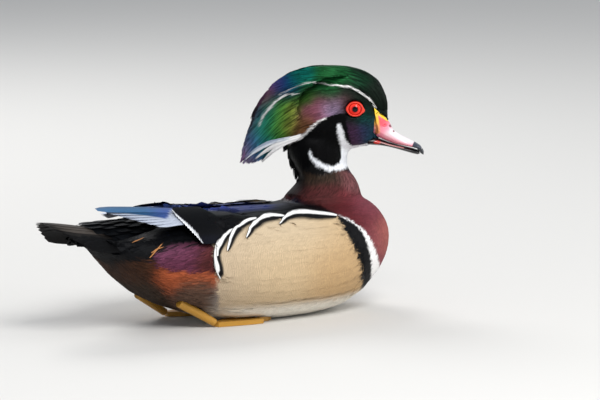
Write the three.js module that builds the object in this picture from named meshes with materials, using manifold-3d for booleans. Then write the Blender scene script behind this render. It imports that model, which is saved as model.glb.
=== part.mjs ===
// A drake wood duck, life size, sitting on its belly with its feet tucked under it.
// Millimetres. X runs forward to the breast, Y to the bird's left and Z up from the floor.
import * as THREE from "three";
import { mergeVertices } from "three/addons/utils/BufferGeometryUtils.js";
import Module from "manifold-3d";

const wasm = await Module();
wasm.setup();

// Driving sizes of the bird.
const GAP = 0.35; // kept between neighbouring pieces
const SLIVER = 0.02; // faces thinner than this are merged away
const HEAD_TURN = THREE.MathUtils.degToRad(-38); // the head looks to the bird's right
const EYE_MIDDLE = new THREE.Vector3(96.6, -13.3, 154.5); // midway between the two eyes
const EYE_RADIUS = 6.3;
const EYE_OUT = 12.6; // from the head's middle plane to the eye's own middle
const LID_OUT = 17.8;
const LID_RADIUS = 5.9;
const LID_THICK = 0.95;
const LID_STRETCH = 1.08; // the lids are longer than they are high
const SHELL = 6; // depth of the wing and flank feathers over the trunk
const BREAST_FRONT = 127;
const WING_TIP = new THREE.Vector3(-147, -10, 95);
const HIDDEN_WING_TIP = new THREE.Vector3(-128, -9, 91); // the left wing is folded tighter

// Where the trunk is parted.
const BREAST_CUT = 72;
const RUMP_CUT = -72;

const v3 = (x, y, z) => new THREE.Vector3(x, y, z);
const mix = THREE.MathUtils.lerp;
const smooth = THREE.MathUtils.smoothstep;

// Reads a short table of [position, size, size, ...] rows as smooth curves.
function table(rows) {
  const sizes = rows[0].length - 1;
  const spline = new THREE.CubicInterpolant(
    rows.map((row) => row[0]),
    rows.flatMap((row) => row.slice(1)),
    sizes,
  );
  return (at) => Array.from(spline.evaluate(at));
}

// A closed skin over rings of points. The two halves of each ring are split into triangles alike,
// so that the faces of a thin vane never cross.
function loft(rings) {
  const count = rings[0].length;
  const points = rings.flat();
  const faces = [];
  for (let i = 0; i + 1 < rings.length; i++) {
    for (let j = 0; j < count; j++) {
      const a = i * count + j;
      const b = i * count + ((j + 1) % count);
      const c = a + count;
      const d = b + count;
      if (j < count / 2) faces.push(a, b, d, a, d, c);
      else faces.push(a, b, c, b, d, c);
    }
  }
  const last = (rings.length - 1) * count;
  const ends = [rings[0], rings[rings.length - 1]].map((ring) =>
    ring.reduce((sum, point) => sum.add(point), v3(0, 0, 0)).divideScalar(count),
  );
  points.push(...ends);
  for (let j = 0; j < count; j++) {
    const next = (j + 1) % count;
    faces.push(next, j, points.length - 2);
    faces.push(last + j, last + next, points.length - 1);
  }
  return new THREE.BufferGeometry().setFromPoints(points).setIndex(faces);
}

// A closed geometry as a solid that faces outwards.
function solid(geometry) {
  const bare = geometry.index ? geometry.toNonIndexed() : geometry.clone();
  bare.deleteAttribute("normal");
  bare.deleteAttribute("uv");
  const merged = mergeVertices(bare, 1e-4);
  const triVerts = new Uint32Array(merged.index.array);
  const build = () =>
    new wasm.Manifold(
      new wasm.Mesh({ numProp: 3, vertProperties: merged.attributes.position.array, triVerts }),
    );
  const made = build();
  if (made.volume() > 0) return made;
  for (let i = 0; i < triVerts.length; i += 3) triVerts.subarray(i + 1, i + 3).reverse();
  return build();
}

const range = (count) => Array.from({ length: count }, (_, i) => i);

const join = (pieces) => pieces.reduce((all, piece) => all.add(piece));

// A named mesh of the largest closed surface of a solid, without the slivers that cuts leave.
function node(name, made, material) {
  const bodies = made.simplify(SLIVER).decompose();
  const whole = bodies.sort((a, b) => b.volume() - a.volume())[0];
  const mesh = whole.getMesh();
  const geometry = new THREE.BufferGeometry();
  geometry.setAttribute("position", new THREE.BufferAttribute(mesh.vertProperties, 3));
  geometry.setIndex(new THREE.BufferAttribute(mesh.triVerts, 1));
  geometry.computeVertexNormals();
  const result = new THREE.Mesh(geometry, material);
  result.name = name;
  return result;
}

// The same mesh on the bird's left side.
function mirrored(mesh, name) {
  const other = mesh.clone();
  other.name = name;
  other.scale.y = -1;
  return other;
}

// All space on the side of a plane that its normal points to.
function beyond(point, normal) {
  const reach = 600;
  const turn = new THREE.Quaternion().setFromUnitVectors(v3(0, 0, 1), normal.clone().normalize());
  const half = new THREE.BoxGeometry(reach, reach, reach).translate(0, 0, reach / 2);
  return solid(half.applyQuaternion(turn).translate(point.x, point.y, point.z));
}

// A feather along a bent line from its root to its tip. Its ring is either a wide thin blade,
// thick down its middle, or a narrow lock.
const VANE_SHAPE = table([[0, 0.6], [0.35, 1], [0.7, 0.95], [1, 0.2]]);
const QUILL_SHAPE = table([[0, 0.5], [0.4, 0.9], [0.8, 1], [1, 0.35]]);
const LOCK_SHAPE = table([[0, 0.7], [0.35, 1], [0.7, 0.75], [1, 0.12]]);

function vane({ root, tip, lift, face, width, thick, steps = 3, ring = "blade", shape = VANE_SHAPE }) {
  const bend = root.clone().add(tip).multiplyScalar(0.5).add(lift);
  const line = new THREE.QuadraticBezierCurve3(root, bend, tip);
  const rings = [];
  for (let i = 0; i <= steps; i++) {
    const at = i / steps;
    const middle = line.getPoint(at);
    const along = line.getTangent(at);
    const across = new THREE.Vector3().crossVectors(along, face).normalize();
    const outward = new THREE.Vector3().crossVectors(across, along).normalize();
    const half = (width / 2) * shape(at)[0];
    const deep = (thick / 2) * mix(1, 0.4, at);
    const edge = deep * 0.5;
    const sag = 0.12 * half;
    const spot = (side, up) =>
      middle.clone().addScaledVector(across, side * half).addScaledVector(outward, up);
    rings.push(
      ring === "lock"
        ? [spot(-1, 0), spot(0, deep), spot(1, 0), spot(0, -deep)]
        : [
            spot(-1, edge - sag), spot(0, deep), spot(1, edge - sag),
            spot(1, -edge - sag), spot(0, -deep), spot(-1, -edge - sag),
          ],
    );
  }
  return solid(loft(rings));
}

// The trunk, from under the tail to the breast: [station, x, top, widest level, bottom, half width,
// squareness] of the feathered outline.
const TRUNK = table([
  [0, -164, 72.5, 72, 71.5, 4, 2],
  [1, -158, 74, 72, 70, 11, 2],
  [2, -146, 75, 70, 65.5, 19, 2],
  [3, -132, 74.5, 66, 55.5, 28, 2.1],
  [4, -116, 76, 61, 39, 38, 2.2],
  [5, -96, 79, 56, 23, 47, 2.3],
  [6, -70, 82.5, 52, 11, 55, 2.4],
  [7, -40, 84.5, 50, 2.5, 61, 2.4],
  [8, -8, 84.5, 49, -2, 64, 2.4],
  [9, 24, 83.5, 49, -3, 64, 2.4],
  [10, 52, 83.5, 50, -2, 61.5, 2.4],
  [11, 76, 86, 52, 1, 57, 2.2],
  [12, 96, 87.5, 53, 10, 49, 2.1],
  [13, 110, 83, 54, 21, 39, 2],
  [14, 119, 75, 55, 33, 28, 2],
  [15, 124.5, 66, 56, 45, 15, 2],
  [16, BREAST_FRONT, 59, 56, 53, 4, 2],
]);
const STATIONS = 16;

// The trunk's outline at a station, at an angle that is 0 on the bird's right and 90 degrees on top,
// drawn in by depth.
function trunkPoint(station, angle, depth = 0) {
  const [x, top, level, bottom, half, square] = TRUNK(station);
  const power = (value) => Math.sign(value) * Math.abs(value) ** (2 / square);
  const across = power(Math.cos(angle));
  const rise = power(Math.sin(angle));
  const tall = rise > 0 ? top - level : level - bottom;
  return v3(x, -Math.max(half - depth, 1) * across, level + Math.max(tall - depth, 1) * rise);
}

// The station of the trunk at a given x.
function stationAt(x) {
  let low = 0;
  let high = STATIONS;
  for (let i = 0; i < 30; i++) {
    const middle = (low + high) / 2;
    if (TRUNK(middle)[0] < x) low = middle;
    else high = middle;
  }
  return (low + high) / 2;
}

// The angle of the trunk's outline where its right side passes a height.
function angleAt(station, z) {
  let low = -Math.PI / 2;
  let high = Math.PI / 2;
  for (let i = 0; i < 30; i++) {
    const middle = (low + high) / 2;
    if (trunkPoint(station, middle).z < z) low = middle;
    else high = middle;
  }
  return (low + high) / 2;
}

// A point over the trunk's right side, raised by lift along the outline's normal.
function overTrunk(x, angle, lift) {
  const station = stationAt(x);
  const here = trunkPoint(station, angle);
  const around = trunkPoint(station, angle + 0.01).sub(trunkPoint(station, angle - 0.01));
  return here.addScaledVector(v3(0, -around.z, around.y).normalize(), lift);
}

function trunkLoft(depthAt) {
  const rings = [];
  const steps = 22;
  const around = 28;
  for (let i = 0; i <= steps; i++) {
    const station = (STATIONS * i) / steps;
    const ring = [];
    for (let j = 0; j < around; j++) {
      const angle = (2 * Math.PI * j) / around;
      ring.push(trunkPoint(station, angle, depthAt(station, angle)));
    }
    rings.push(ring);
  }
  return solid(loft(rings));
}

// The head's own directions: forward along the bill, up, and out to the bird's right.
const FORWARD = v3(Math.cos(HEAD_TURN), Math.sin(HEAD_TURN), 0);
const RIGHT = v3(Math.sin(HEAD_TURN), -Math.cos(HEAD_TURN), 0);
const headPoint = (forward, up, right) =>
  EYE_MIDDLE.clone()
    .addScaledVector(FORWARD, forward)
    .addScaledVector(RIGHT, right)
    .add(v3(0, 0, up));

// A loft of upright ovals across the head, from [forward, top, widest level, bottom, half width]
// rows, grown by a margin.
function headLoft(rows, steps, around, grow = 0, square = 2) {
  const read = table(rows.map((row, i) => [i, ...row]));
  const rings = [];
  const last = rows.length - 1;
  for (let i = 0; i <= steps; i++) {
    const [forward, top, level, bottom, half] = read((last * i) / steps);
    const ring = [];
    for (let j = 0; j < around; j++) {
      const angle = (2 * Math.PI * j) / around;
      const across = Math.sign(Math.cos(angle)) * Math.abs(Math.cos(angle)) ** (2 / square);
      const rise = Math.sign(Math.sin(angle)) * Math.abs(Math.sin(angle)) ** (2 / square);
      const tall = (rise > 0 ? top - level : level - bottom) + grow;
      const ahead = i === 0 ? -grow : i === steps ? grow : 0;
      ring.push(headPoint(forward + ahead, level + tall * rise, (half + grow) * across));
    }
    rings.push(ring);
  }
  return solid(loft(rings));
}

const SKULL = [
  [-50, 2, -12, -26, 7],
  [-46, 11, -11, -33, 13],
  [-38, 19, -8, -40, 18],
  [-28, 24, -6, -42, 20.3],
  [-16, 26.5, -4, -40, 20.6],
  [-4, 27, -3, -34.5, 19.4],
  [6, 26.5, -3, -32, 17],
  [12, 25, -2, -31, 14.5],
  [15.5, 23, 1, -29.5, 12],
  [18.5, 20, 3, -22, 9.6],
  [21, 16.5, 3, -18, 8],
  [23.3, 12.5, 0, -15, 6.2],
  [25.6, 3, -5, -12, 3.6],
];

// The firm middle of the crest that its locks grow from.
const CREST_CORE = [
  [-56, 15, 4, -10, 7],
  [-50, 21.5, 5, -16, 12],
  [-42, 25.5, 8, -16, 16.5],
  [-32, 28.4, 12, -9, 18.6],
  [-18, 29.6, 16, 3, 18.2],
  [-6, 29.3, 18, 9, 14.6],
  [6, 27.6, 20, 13, 9.6],
  [12, 25.2, 21, 17.5, 5],
];

// Where the crest's locks grow and where they end, seen from the side as [forward, up], from the
// crown round to the nape.
const CREST_ROOTS = [[4, 24], [-10, 26], [-22, 25], [-34, 20], [-42, 10], [-45, -3], [-44, -14]];
const CREST_TIPS = [
  [-34, 30], [-46, 27], [-55, 23], [-63, 17], [-70, 8.5], [-76, -1], [-80, -11], [-84, -22],
  [-87, -33], [-87.3, -43], [-79, -43.5], [-71, -41], [-60, -33],
];
const CREST_HALF = table([[-88, 2], [-75, 7.5], [-55, 13.5], [-35, 17.5], [-20, 18.5], [15, 5]]);
const LOCK_WIDE = 11;
const LOCK_THICK = 4.2;

// The wedge of forehead feathers that runs down the middle of the bill's base.
const FOREHEAD_WEDGE = [
  [15, 18, 4, -6, 4],
  [20, 13, 0, -9, 4],
  [24, 8, -3, -12, 3.6],
  [25.6, 2, -7, -13, 3],
  [26.6, -8, -10.5, -13.5, 1.2],
];

const UPPER_BILL = [
  [10, 3, -12, -21.5, 9],
  [14.8, 2, -12.5, -22.2, 9.6],
  [18, -1.5, -14.5, -23.8, 9.6],
  [22, -6, -17, -25.6, 9.3],
  [26, -10.8, -19.5, -27.2, 8.9],
  [29.3, -17.2, -22.5, -28.4, 8.5],
  [33.4, -20.8, -25.2, -29.5, 8.3],
  [39.2, -23.9, -27.7, -30.5, 8.1],
  [45, -26.8, -29.4, -31.6, 7.4],
  [49.6, -29.4, -31.2, -33, 5.4],
  [51.6, -31.6, -32.8, -34, 3],
];

const LOWER_BILL = [
  [10, -22.5, -26, -29.6, 7.4],
  [16, -23.4, -26.6, -30, 7.6],
  [22, -26, -28.2, -30.4, 7.3],
  [29, -28.5, -30, -31.8, 6.8],
  [36, -30.4, -32, -33.8, 6.3],
  [43, -31.8, -34, -35.9, 5.7],
  [48, -33.4, -35.4, -37.2, 4.2],
  [50, -34.8, -36, -36.9, 2.2],
];

const NAIL = [
  [45.8, -26.4, -28.5, -30, 2.8],
  [48.4, -27.7, -31, -33.8, 4.1],
  [50.6, -29.6, -33, -36.2, 3.8],
  [52.4, -32.6, -34.8, -37.4, 2.6],
  [53.2, -34.6, -36, -37.6, 1.2],
];

const skullLoft = (grow = 0) => headLoft(SKULL, 16, 20, grow);
const upperBill = (grow = 0) => headLoft(UPPER_BILL, 14, 16, grow);
const lowerBill = (grow = 0) => headLoft(LOWER_BILL, 8, 12, grow);
const foreheadWedge = (grow = 0) => headLoft(FOREHEAD_WEDGE, 6, 10, grow);

// The neck's middle line, from inside the breast to inside the head, with its half depth along the
// way that it faces, its half width and its turn towards the head.
const NECK = table([
  [0, 70, 0, 66, 40, 34, 0],
  [1, 75, 0, 84, 33, 27, 0.15],
  [2, 80, -0.3, 98, 22.9, 21.5, 0.5],
  [3, 76.3, 2, 107, 20.8, 19.4, 0.8],
  [4, 74.2, 4, 118, 23.6, 19.2, 1],
  [5, 73, 5.5, 130, 24, 19, 1],
]);
const NECK_STATIONS = 5;

function neckLoft(grow = 0) {
  const rings = [];
  const steps = 12;
  const around = 20;
  for (let i = 0; i <= steps; i++) {
    const [x, y, z, deep, wide, turned] = NECK((NECK_STATIONS * i) / steps);
    const ring = [];
    for (let j = 0; j < around; j++) {
      const angle = (2 * Math.PI * j) / around;
      const offset = v3((deep + grow) * Math.cos(angle), (wide + grow) * Math.sin(angle), 0);
      ring.push(offset.applyAxisAngle(v3(0, 0, 1), HEAD_TURN * turned).add(v3(x, y, z)));
    }
    rings.push(ring);
  }
  return solid(loft(rings));
}

// Where the neck is parted from the breast and from the head.
const COLLAR = { point: v3(80, 0, 98), normal: v3(0.25, 0, 1) };
const JAW = { point: headPoint(-20, -36, 0), normal: v3(-0.1, 0, 1) };

const feathers = (color, roughness = 0.6) =>
  new THREE.MeshStandardMaterial({ color, roughness, metalness: 0 });
const MATERIALS = {
  chestnut: feathers(0x6b2620),
  belly: feathers(0xe6e0d2),
  buff: feathers(0xcdb284),
  black: feathers(0x0c0d10, 0.5),
  crest: feathers(0x14502c, 0.35),
  wing: feathers(0x10131f, 0.45),
  tail: feathers(0x15130f, 0.5),
  rump: feathers(0x4a1c34, 0.5),
  bill: feathers(0xd8605a, 0.35),
  dark: feathers(0x0b0b0c, 0.3),
  eye: feathers(0xb3140c, 0.1),
  lid: feathers(0xd8352a, 0.45),
  foot: feathers(0x9a7a34, 0.6),
};

// How deep the wing and flank feathers lie over a point of the trunk.
function shellDepth(station, angle) {
  const [x] = TRUNK(station);
  return SHELL * smooth(x, -92, -72) * smooth(Math.sin(angle), -0.75, -0.35);
}

const floorSide = beyond(v3(0, 0, 0), v3(0, 0, 1));

// A foot laid flat under the body, toes forward, with its webs: outline points as [x, y].
const FOOT_OUTLINE = [
  [-52, -29.5], [-40, -22.5], [-14, -18.5], [-8, -20], [-9, -23], [-13, -25.5], [-3, -27], [2, -30],
  [-3, -33], [-14, -34.5], [-11, -38], [-14, -41], [-24, -40], [-42, -36.5], [-51, -34],
];
const FOOT_THICK = 3.6;

function footPlate(grow = 0) {
  const middle = v3(-28, -30, 0);
  const points = FOOT_OUTLINE.map(([x, y]) => {
    const out = new THREE.Vector2(x - middle.x, y - middle.y);
    return out.setLength(out.length() + grow).add(new THREE.Vector2(middle.x, middle.y));
  });
  const options = { depth: FOOT_THICK + grow, bevelEnabled: false, steps: 1 };
  return solid(new THREE.ExtrudeGeometry(new THREE.Shape(points), options));
}

// The shank lies back along the belly from the toes to the heel.
const SHANK = { toes: v3(-53.2, -31.6, 3.4), heel: v3(-82, -26, 21), radius: 2.9 };

function shankRod(grow = 0) {
  const span = new THREE.Vector3().subVectors(SHANK.heel, SHANK.toes);
  const rod = new THREE.CylinderGeometry(
    SHANK.radius + 1 + grow, SHANK.radius + grow, span.length() + 2 * grow, 14,
  );
  const turn = new THREE.Quaternion().setFromUnitVectors(v3(0, 1, 0), span.clone().normalize());
  const middle = SHANK.toes.clone().addScaledVector(span, 0.5);
  return solid(rod.applyQuaternion(turn).translate(middle.x, middle.y, middle.z));
}

const flipped = (made) => made.mirror([0, 1, 0]);
const bothSides = (made) => made.add(flipped(made));

// The hollows in the belly that the feet and shanks lie in.
const feetRoom = bothSides(footPlate(GAP).add(shankRod(GAP)));

const makeFoot = () => footPlate();
const makeShank = () => shankRod().intersect(floorSide).subtract(footPlate(GAP));

// The whole trunk as feathered, the same grown by the gap, and the body under wings and flanks.
const outerTrunk = trunkLoft(() => 0);
const grownTrunk = trunkLoft(() => -GAP);
const innerTrunk = trunkLoft(shellDepth);
const innerTrunkGrown = trunkLoft((station, angle) => shellDepth(station, angle) - GAP);

// The planes that part breast, torso and rump, each with the side that the normal points to.
const BREAST_SIDE = { point: v3(BREAST_CUT, 0, 60), normal: v3(1, 0, 0.9) };
const RUMP_SIDE = { point: v3(RUMP_CUT, 0, 50), normal: v3(-1, 0, 0.25) };

// Space in front of a parting plane, and what lies behind it with the gap taken off.
const ahead = ({ point, normal }) => beyond(point, normal);
const behind = ({ point, normal }) =>
  beyond(point.clone().addScaledVector(normal.clone().normalize(), -GAP), normal.clone().negate());

// An upright prism over an outline of [x, z] points, reaching out over the bird's right side.
function sidePrism(outline, raise = 0) {
  const shape = new THREE.Shape(outline.map(([x, z]) => new THREE.Vector2(x, z + raise)));
  const prism = new THREE.ExtrudeGeometry(shape, { depth: 90, bevelEnabled: false, steps: 1 });
  return solid(prism.rotateX(Math.PI / 2));
}

// A prism over an outline of [x, y] points, reaching up from the trunk's middle.
function backPrism(outline) {
  const shape = new THREE.Shape(outline.map(([x, y]) => new THREE.Vector2(x, y)));
  const prism = new THREE.ExtrudeGeometry(shape, { depth: 90, bevelEnabled: false, steps: 1 });
  return solid(prism.translate(0, 0, 45));
}

// The flank's upper edge from the breast to the rump, and the mantle's edge between the wings.
const FLANK_EDGE = [
  [66, 60], [60, 68], [45, 76], [30, 79], [15, 80.5], [0, 80.7], [-20, 79.5], [-40, 77],
  [-55, 73.5], [-66, 65], [-76, 52],
];
const MANTLE_EDGE = [[74, 40], [40, 30], [10, 20], [-30, 9], [-60, 4], [-90, 2.5]];
const FLANK_BOTTOM = 14;
const FLANK_INNER = 38; // no part of a flank lies nearer to the middle plane

const flankOutline = [...FLANK_EDGE, [-90, 40], [-90, FLANK_BOTTOM], [130, FLANK_BOTTOM], [130, 60]];
const mantleOutline = (grow) => [
  ...MANTLE_EDGE.map(([x, y]) => [x, y + grow]),
  ...MANTLE_EDGE.map(([x, y]) => [x, -y - grow]).reverse(),
];

// The room that a flank takes, with its upper and inner borders moved out by a margin.
const flankSpace = (grow) =>
  sidePrism(flankOutline, grow).intersect(beyond(v3(0, grow - FLANK_INNER, 0), v3(0, -1, 0)));

const rightSide = beyond(v3(0, -0.35, 0), v3(0, -1, 0));
const shell = outerTrunk
  .subtract(innerTrunkGrown)
  .intersect(behind(BREAST_SIDE))
  .intersect(behind(RUMP_SIDE));

function makeBreast() {
  const belowCollar = beyond(COLLAR.point, COLLAR.normal.clone().negate());
  return outerTrunk.add(neckLoft()).intersect(ahead(BREAST_SIDE)).intersect(belowCollar);
}

function makeTorso() {
  const mantle = outerTrunk.intersect(backPrism(mantleOutline(0)));
  return innerTrunk
    .add(mantle)
    .intersect(behind(BREAST_SIDE))
    .intersect(behind(RUMP_SIDE))
    .intersect(floorSide)
    .subtract(feetRoom);
}

const makeRump = () => outerTrunk.intersect(ahead(RUMP_SIDE)).subtract(feetRoom);

// The broad barred feathers along a flank's upper and rear edge.
function barredFeathers() {
  const edge = new THREE.CatmullRomCurve3(FLANK_EDGE.map(([x, z]) => v3(x, 0, z)));
  const count = 8;
  return range(count).map((i) => {
    const at = edge.getPointAt(mix(0.16, 0.97, i / (count - 1)));
    const tipStation = stationAt(at.x);
    const tip = overTrunk(at.x, angleAt(tipStation, at.z - 1.5), 0.9);
    const rootX = at.x + 24;
    const root = overTrunk(rootX, angleAt(stationAt(rootX), at.z - 16), -2.5);
    return vane({
      root,
      tip,
      lift: v3(0, -2.5, 1),
      face: v3(0, -1, 0.4),
      width: 15,
      thick: 2,
      steps: 2,
    });
  });
}

const makeFlank = () =>
  join([shell, ...barredFeathers()])
    .subtract(innerTrunkGrown)
    .intersect(flankSpace(0))
    .intersect(behind(RUMP_SIDE));

// The wing's feathers in tiers, each from a root under the pad to a tip that stands off the body.
function primaries(wingTip) {
  const count = 4;
  return range(count).map((i) => {
    const tip = v3(-114, -24, 86.5).lerp(wingTip, i / (count - 1));
    return vane({
      root: overTrunk(-46, 0.75 + 0.05 * i, -2.5),
      tip,
      lift: v3(0, -3, 5),
      face: v3(0, -0.6, 1),
      width: 14,
      thick: 1.8,
    });
  });
}

function secondaries() {
  const count = 5;
  return range(count).map((i) => {
    const rise = i / (count - 1);
    return vane({
      root: overTrunk(-46, mix(0.32, 0.95, rise), -2.2),
      tip: v3(-79, -51.5, 69).lerp(v3(-92, -28, 90.5), rise),
      lift: v3(0, -1.5, 1.5),
      face: v3(0, -1, mix(0.5, 1.4, rise)),
      width: 15,
      thick: 2,
      steps: 2,
    });
  });
}

function tertials() {
  const tips = [v3(-86, -28, 91.5), v3(-94, -21, 92.5), v3(-100, -14, 93)];
  return tips.map((tip, i) =>
    vane({
      root: overTrunk(-20 - 6 * i, 0.95 + 0.17 * i, -1.5),
      tip,
      lift: v3(0, -2, 4),
      face: v3(0, -0.5, 1),
      width: 17,
      thick: 2.2,
    }),
  );
}

function scapulars() {
  return range(3).map((i) =>
    vane({
      root: overTrunk(44 - 24 * i, 0.98, -2),
      tip: overTrunk(2 - 25 * i, 0.82, 0.6),
      lift: v3(0, -1.5, 2.5),
      face: v3(0, -0.7, 1),
      width: 18,
      thick: 2,
      steps: 2,
    }),
  );
}

function makeWing(wingTip) {
  const pad = shell
    .subtract(backPrism(mantleOutline(GAP)))
    .intersect(beyond(v3(0, 0, FLANK_BOTTOM + 30), v3(0, 0, 1)))
    .intersect(rightSide);
  const flight = [...primaries(wingTip), ...secondaries(), ...tertials(), ...scapulars()];
  return join([pad, ...flight])
    .subtract(flankSpace(GAP * 1.4))
    .subtract(grownTrunk.intersect(ahead(RUMP_SIDE)))
    .subtract(innerTrunkGrown)
    .subtract(backPrism(mantleOutline(GAP)).intersect(grownTrunk))
    .intersect(rightSide);
}

// The tail's upper surface: how far along it, from its root to its tips, and how far across, from
// the bird's right to its left.
const TAIL_RIDGE = table([[-192, 87], [-170, 84], [-153, 80.5], [-131, 76.5], [-105, 71.5]]);
const TAIL_HALF = table([[-193, 20], [-170, 25], [-150, 26], [-131, 23], [-105, 14]]);
const TAIL_ARCH = 11;

const TAIL_FEATHERS = 12;
const TAIL_QUILL_WIDE = 13;
const TAIL_RISE = 1.6; // how far the middle quills lie over the outer ones

function tailPoint(along, across, lift) {
  const x = mix(-105, mix(-192, -169, across ** 2), along);
  const y = -across * TAIL_HALF(x)[0];
  return v3(x, y, TAIL_RIDGE(x)[0] - TAIL_ARCH * across ** 2 + lift);
}

function tailPlate(above, below) {
  const rings = [];
  for (let i = 0; i <= 8; i++) {
    const ring = [];
    for (let j = -4; j <= 4; j++) ring.push(tailPoint(i / 8, j / 4, above));
    for (let j = 4; j >= -4; j--) ring.push(tailPoint(i / 8, j / 4, -below));
    rings.push(ring);
  }
  return solid(loft(rings));
}

// The tail's quills, the middle pair on top.
function makeTail() {
  const half = (TAIL_FEATHERS - 1) / 2;
  const quills = range(TAIL_FEATHERS).map((i) => {
    const side = (i - half) / half;
    const level = TAIL_RISE * (1 - Math.abs(side));
    const root = tailPoint(0, side * 0.6, level - 1.4);
    const tip = tailPoint(1, side, level - 0.8);
    const middle = tailPoint(0.5, side * 0.95, level - 0.6);
    const lift = middle.sub(root.clone().add(tip).multiplyScalar(0.5)).multiplyScalar(1.6);
    return vane({
      root,
      tip,
      lift,
      face: v3(0, -side * 0.9, 1),
      width: TAIL_QUILL_WIDE,
      thick: 1.5,
      shape: QUILL_SHAPE,
    });
  });
  return join(quills).subtract(grownTrunk);
}

const COVERTS = table([
  [0, -80, 84, 72, 60, 18],
  [1, -97.3, 83.4, 73, 62, 24.6],
  [2, -113, 82.2, 74, 66, 25.4],
  [3, -127, 82, 76, 69, 20],
  [4, -138, 82.6, 79, 76, 7],
]);

function makeTailCoverts() {
  const rings = [];
  for (let i = 0; i <= 10; i++) {
    const [x, top, level, bottom, half] = COVERTS((4 * i) / 10);
    const ring = [];
    for (let j = 0; j < 18; j++) {
      const angle = (2 * Math.PI * j) / 18;
      const tall = Math.sin(angle) > 0 ? top - level : level - bottom;
      ring.push(v3(x, -half * Math.cos(angle), level + tall * Math.sin(angle)));
    }
    rings.push(ring);
  }
  const plumes = range(4).map((i) =>
    vane({
      root: v3(-104, -5 - 4.5 * i, 81 - 1.3 * i * i),
      tip: v3(-139 + 5 * i, -4 - 5.5 * i, 83.5 - 1.6 * i * i),
      lift: v3(0, 0, 2.5),
      face: v3(0, -0.25 * i, 1),
      width: 11,
      thick: 2.4,
    }),
  );
  return join([solid(loft(rings)), ...plumes, ...plumes.map(flipped)])
    .subtract(grownTrunk)
    .subtract(tailPlate(TAIL_RISE + GAP, 6));
}

function makeNeckAndHead() {
  const up = COLLAR.normal.clone().normalize();
  const rise = JAW.normal.clone().normalize();
  const neck = neckLoft()
    .intersect(beyond(COLLAR.point.clone().addScaledVector(up, GAP), up))
    .intersect(beyond(JAW.point, JAW.normal.clone().negate()));
  const head = skullLoft()
    .add(neckLoft().intersect(beyond(headPoint(0, -60, 0), v3(0, 0, 1))))
    .intersect(beyond(JAW.point.clone().addScaledVector(rise, GAP), rise))
    .subtract(upperBill(GAP))
    .subtract(lowerBill(GAP))
    .add(foreheadWedge())
    .subtract(bothSockets());
  return { neck, head };
}

// A point of the crest on a curve of [forward, up] points, moved out to one side.
function crestPoint(points, along, across, spread) {
  const curve = new THREE.CatmullRomCurve3(points.map(([h, k]) => v3(h, k, 0)));
  const at = curve.getPoint(along);
  return headPoint(at.x, at.y, across * spread * CREST_HALF(at.x)[0]);
}

// One lock of the crest, bowed out from the head between its root and its tip.
function crestLock(along, across, reach, bow) {
  const root = crestPoint(CREST_ROOTS, along, across, 0.86);
  const tip = crestPoint(CREST_TIPS, along, across, 0.9);
  const end = root.clone().lerp(tip, reach);
  const upright = v3(0, 0, 1).multiplyScalar(mix(1, 0.2, along));
  const outward = upright
    .addScaledVector(FORWARD, -mix(0.1, 0.9, along))
    .addScaledVector(RIGHT, across * 1.4);
  return vane({
    root,
    tip: end,
    lift: outward.clone().multiplyScalar(bow),
    face: outward,
    width: LOCK_WIDE * mix(1, 0.75, along),
    thick: LOCK_THICK,
    ring: "lock",
    shape: LOCK_SHAPE,
  });
}

function makeCrest() {
  const locks = [headLoft(CREST_CORE, 10, 12)];
  const long = 10;
  for (let i = 0; i < long; i++) {
    const bow = mix(1, 3.4, i / long);
    for (const across of [-0.85, 0, 0.85]) locks.push(crestLock(i / (long - 1), across, 1, bow));
  }
  const short = 5;
  for (let i = 0; i < short; i++) {
    for (const across of [-1, 1]) locks.push(crestLock((i + 0.5) / short, across, 0.66, 2.2));
  }
  return join(locks).subtract(skullLoft(GAP)).subtract(neckLoft(GAP));
}

// A piece made at the eyes' level, x forward, y up and z out to one side, set into the head's place.
const TO_HEAD = new THREE.Matrix4().makeBasis(FORWARD, v3(0, 0, 1), RIGHT).setPosition(EYE_MIDDLE);
const atSide = (geometry, side) => geometry.scale(1, 1, side).applyMatrix4(TO_HEAD);

function makeEye(side, grow = 0) {
  const ball = new THREE.SphereGeometry(EYE_RADIUS + grow, 14, 9).rotateX(Math.PI / 2);
  return solid(atSide(ball.translate(0, 0, EYE_OUT), side));
}

function makeLid(side) {
  const ring = new THREE.TorusGeometry(LID_RADIUS, LID_THICK, 6, 16)
    .scale(LID_STRETCH, 1 / LID_STRETCH, 1)
    .translate(0, 0, LID_OUT);
  return solid(atSide(ring, side));
}

// The hollow round one eye and its lid.
function makeSocket(side) {
  const radius = LID_RADIUS + LID_THICK + GAP + 0.1;
  const mouth = new THREE.CylinderGeometry(radius + 1, radius, 8, 16)
    .rotateX(Math.PI / 2)
    .scale(LID_STRETCH, 1 / LID_STRETCH, 1)
    .translate(0, 0, LID_OUT - LID_THICK - GAP + 4);
  return makeEye(side, GAP).add(solid(atSide(mouth, side)));
}

const bothSockets = () => makeSocket(1).add(makeSocket(-1));

function makeNostrils() {
  const holes = [1, -1].map((side) => {
    const hole = new THREE.SphereGeometry(1, 12, 8).scale(2.9, 1.1, 2).rotateZ(0.45);
    return solid(atSide(hole.translate(23.5, -13.5, 8), side));
  });
  return join(holes);
}

function makeBill() {
  return {
    upper: upperBill().subtract(makeNostrils()).subtract(foreheadWedge(GAP)),
    nail: headLoft(NAIL, 6, 10).subtract(upperBill(GAP)).subtract(lowerBill(GAP)),
    lower: lowerBill().subtract(upperBill(GAP)),
  };
}

const duck = new THREE.Group();
duck.name = "wood_duck";

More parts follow.
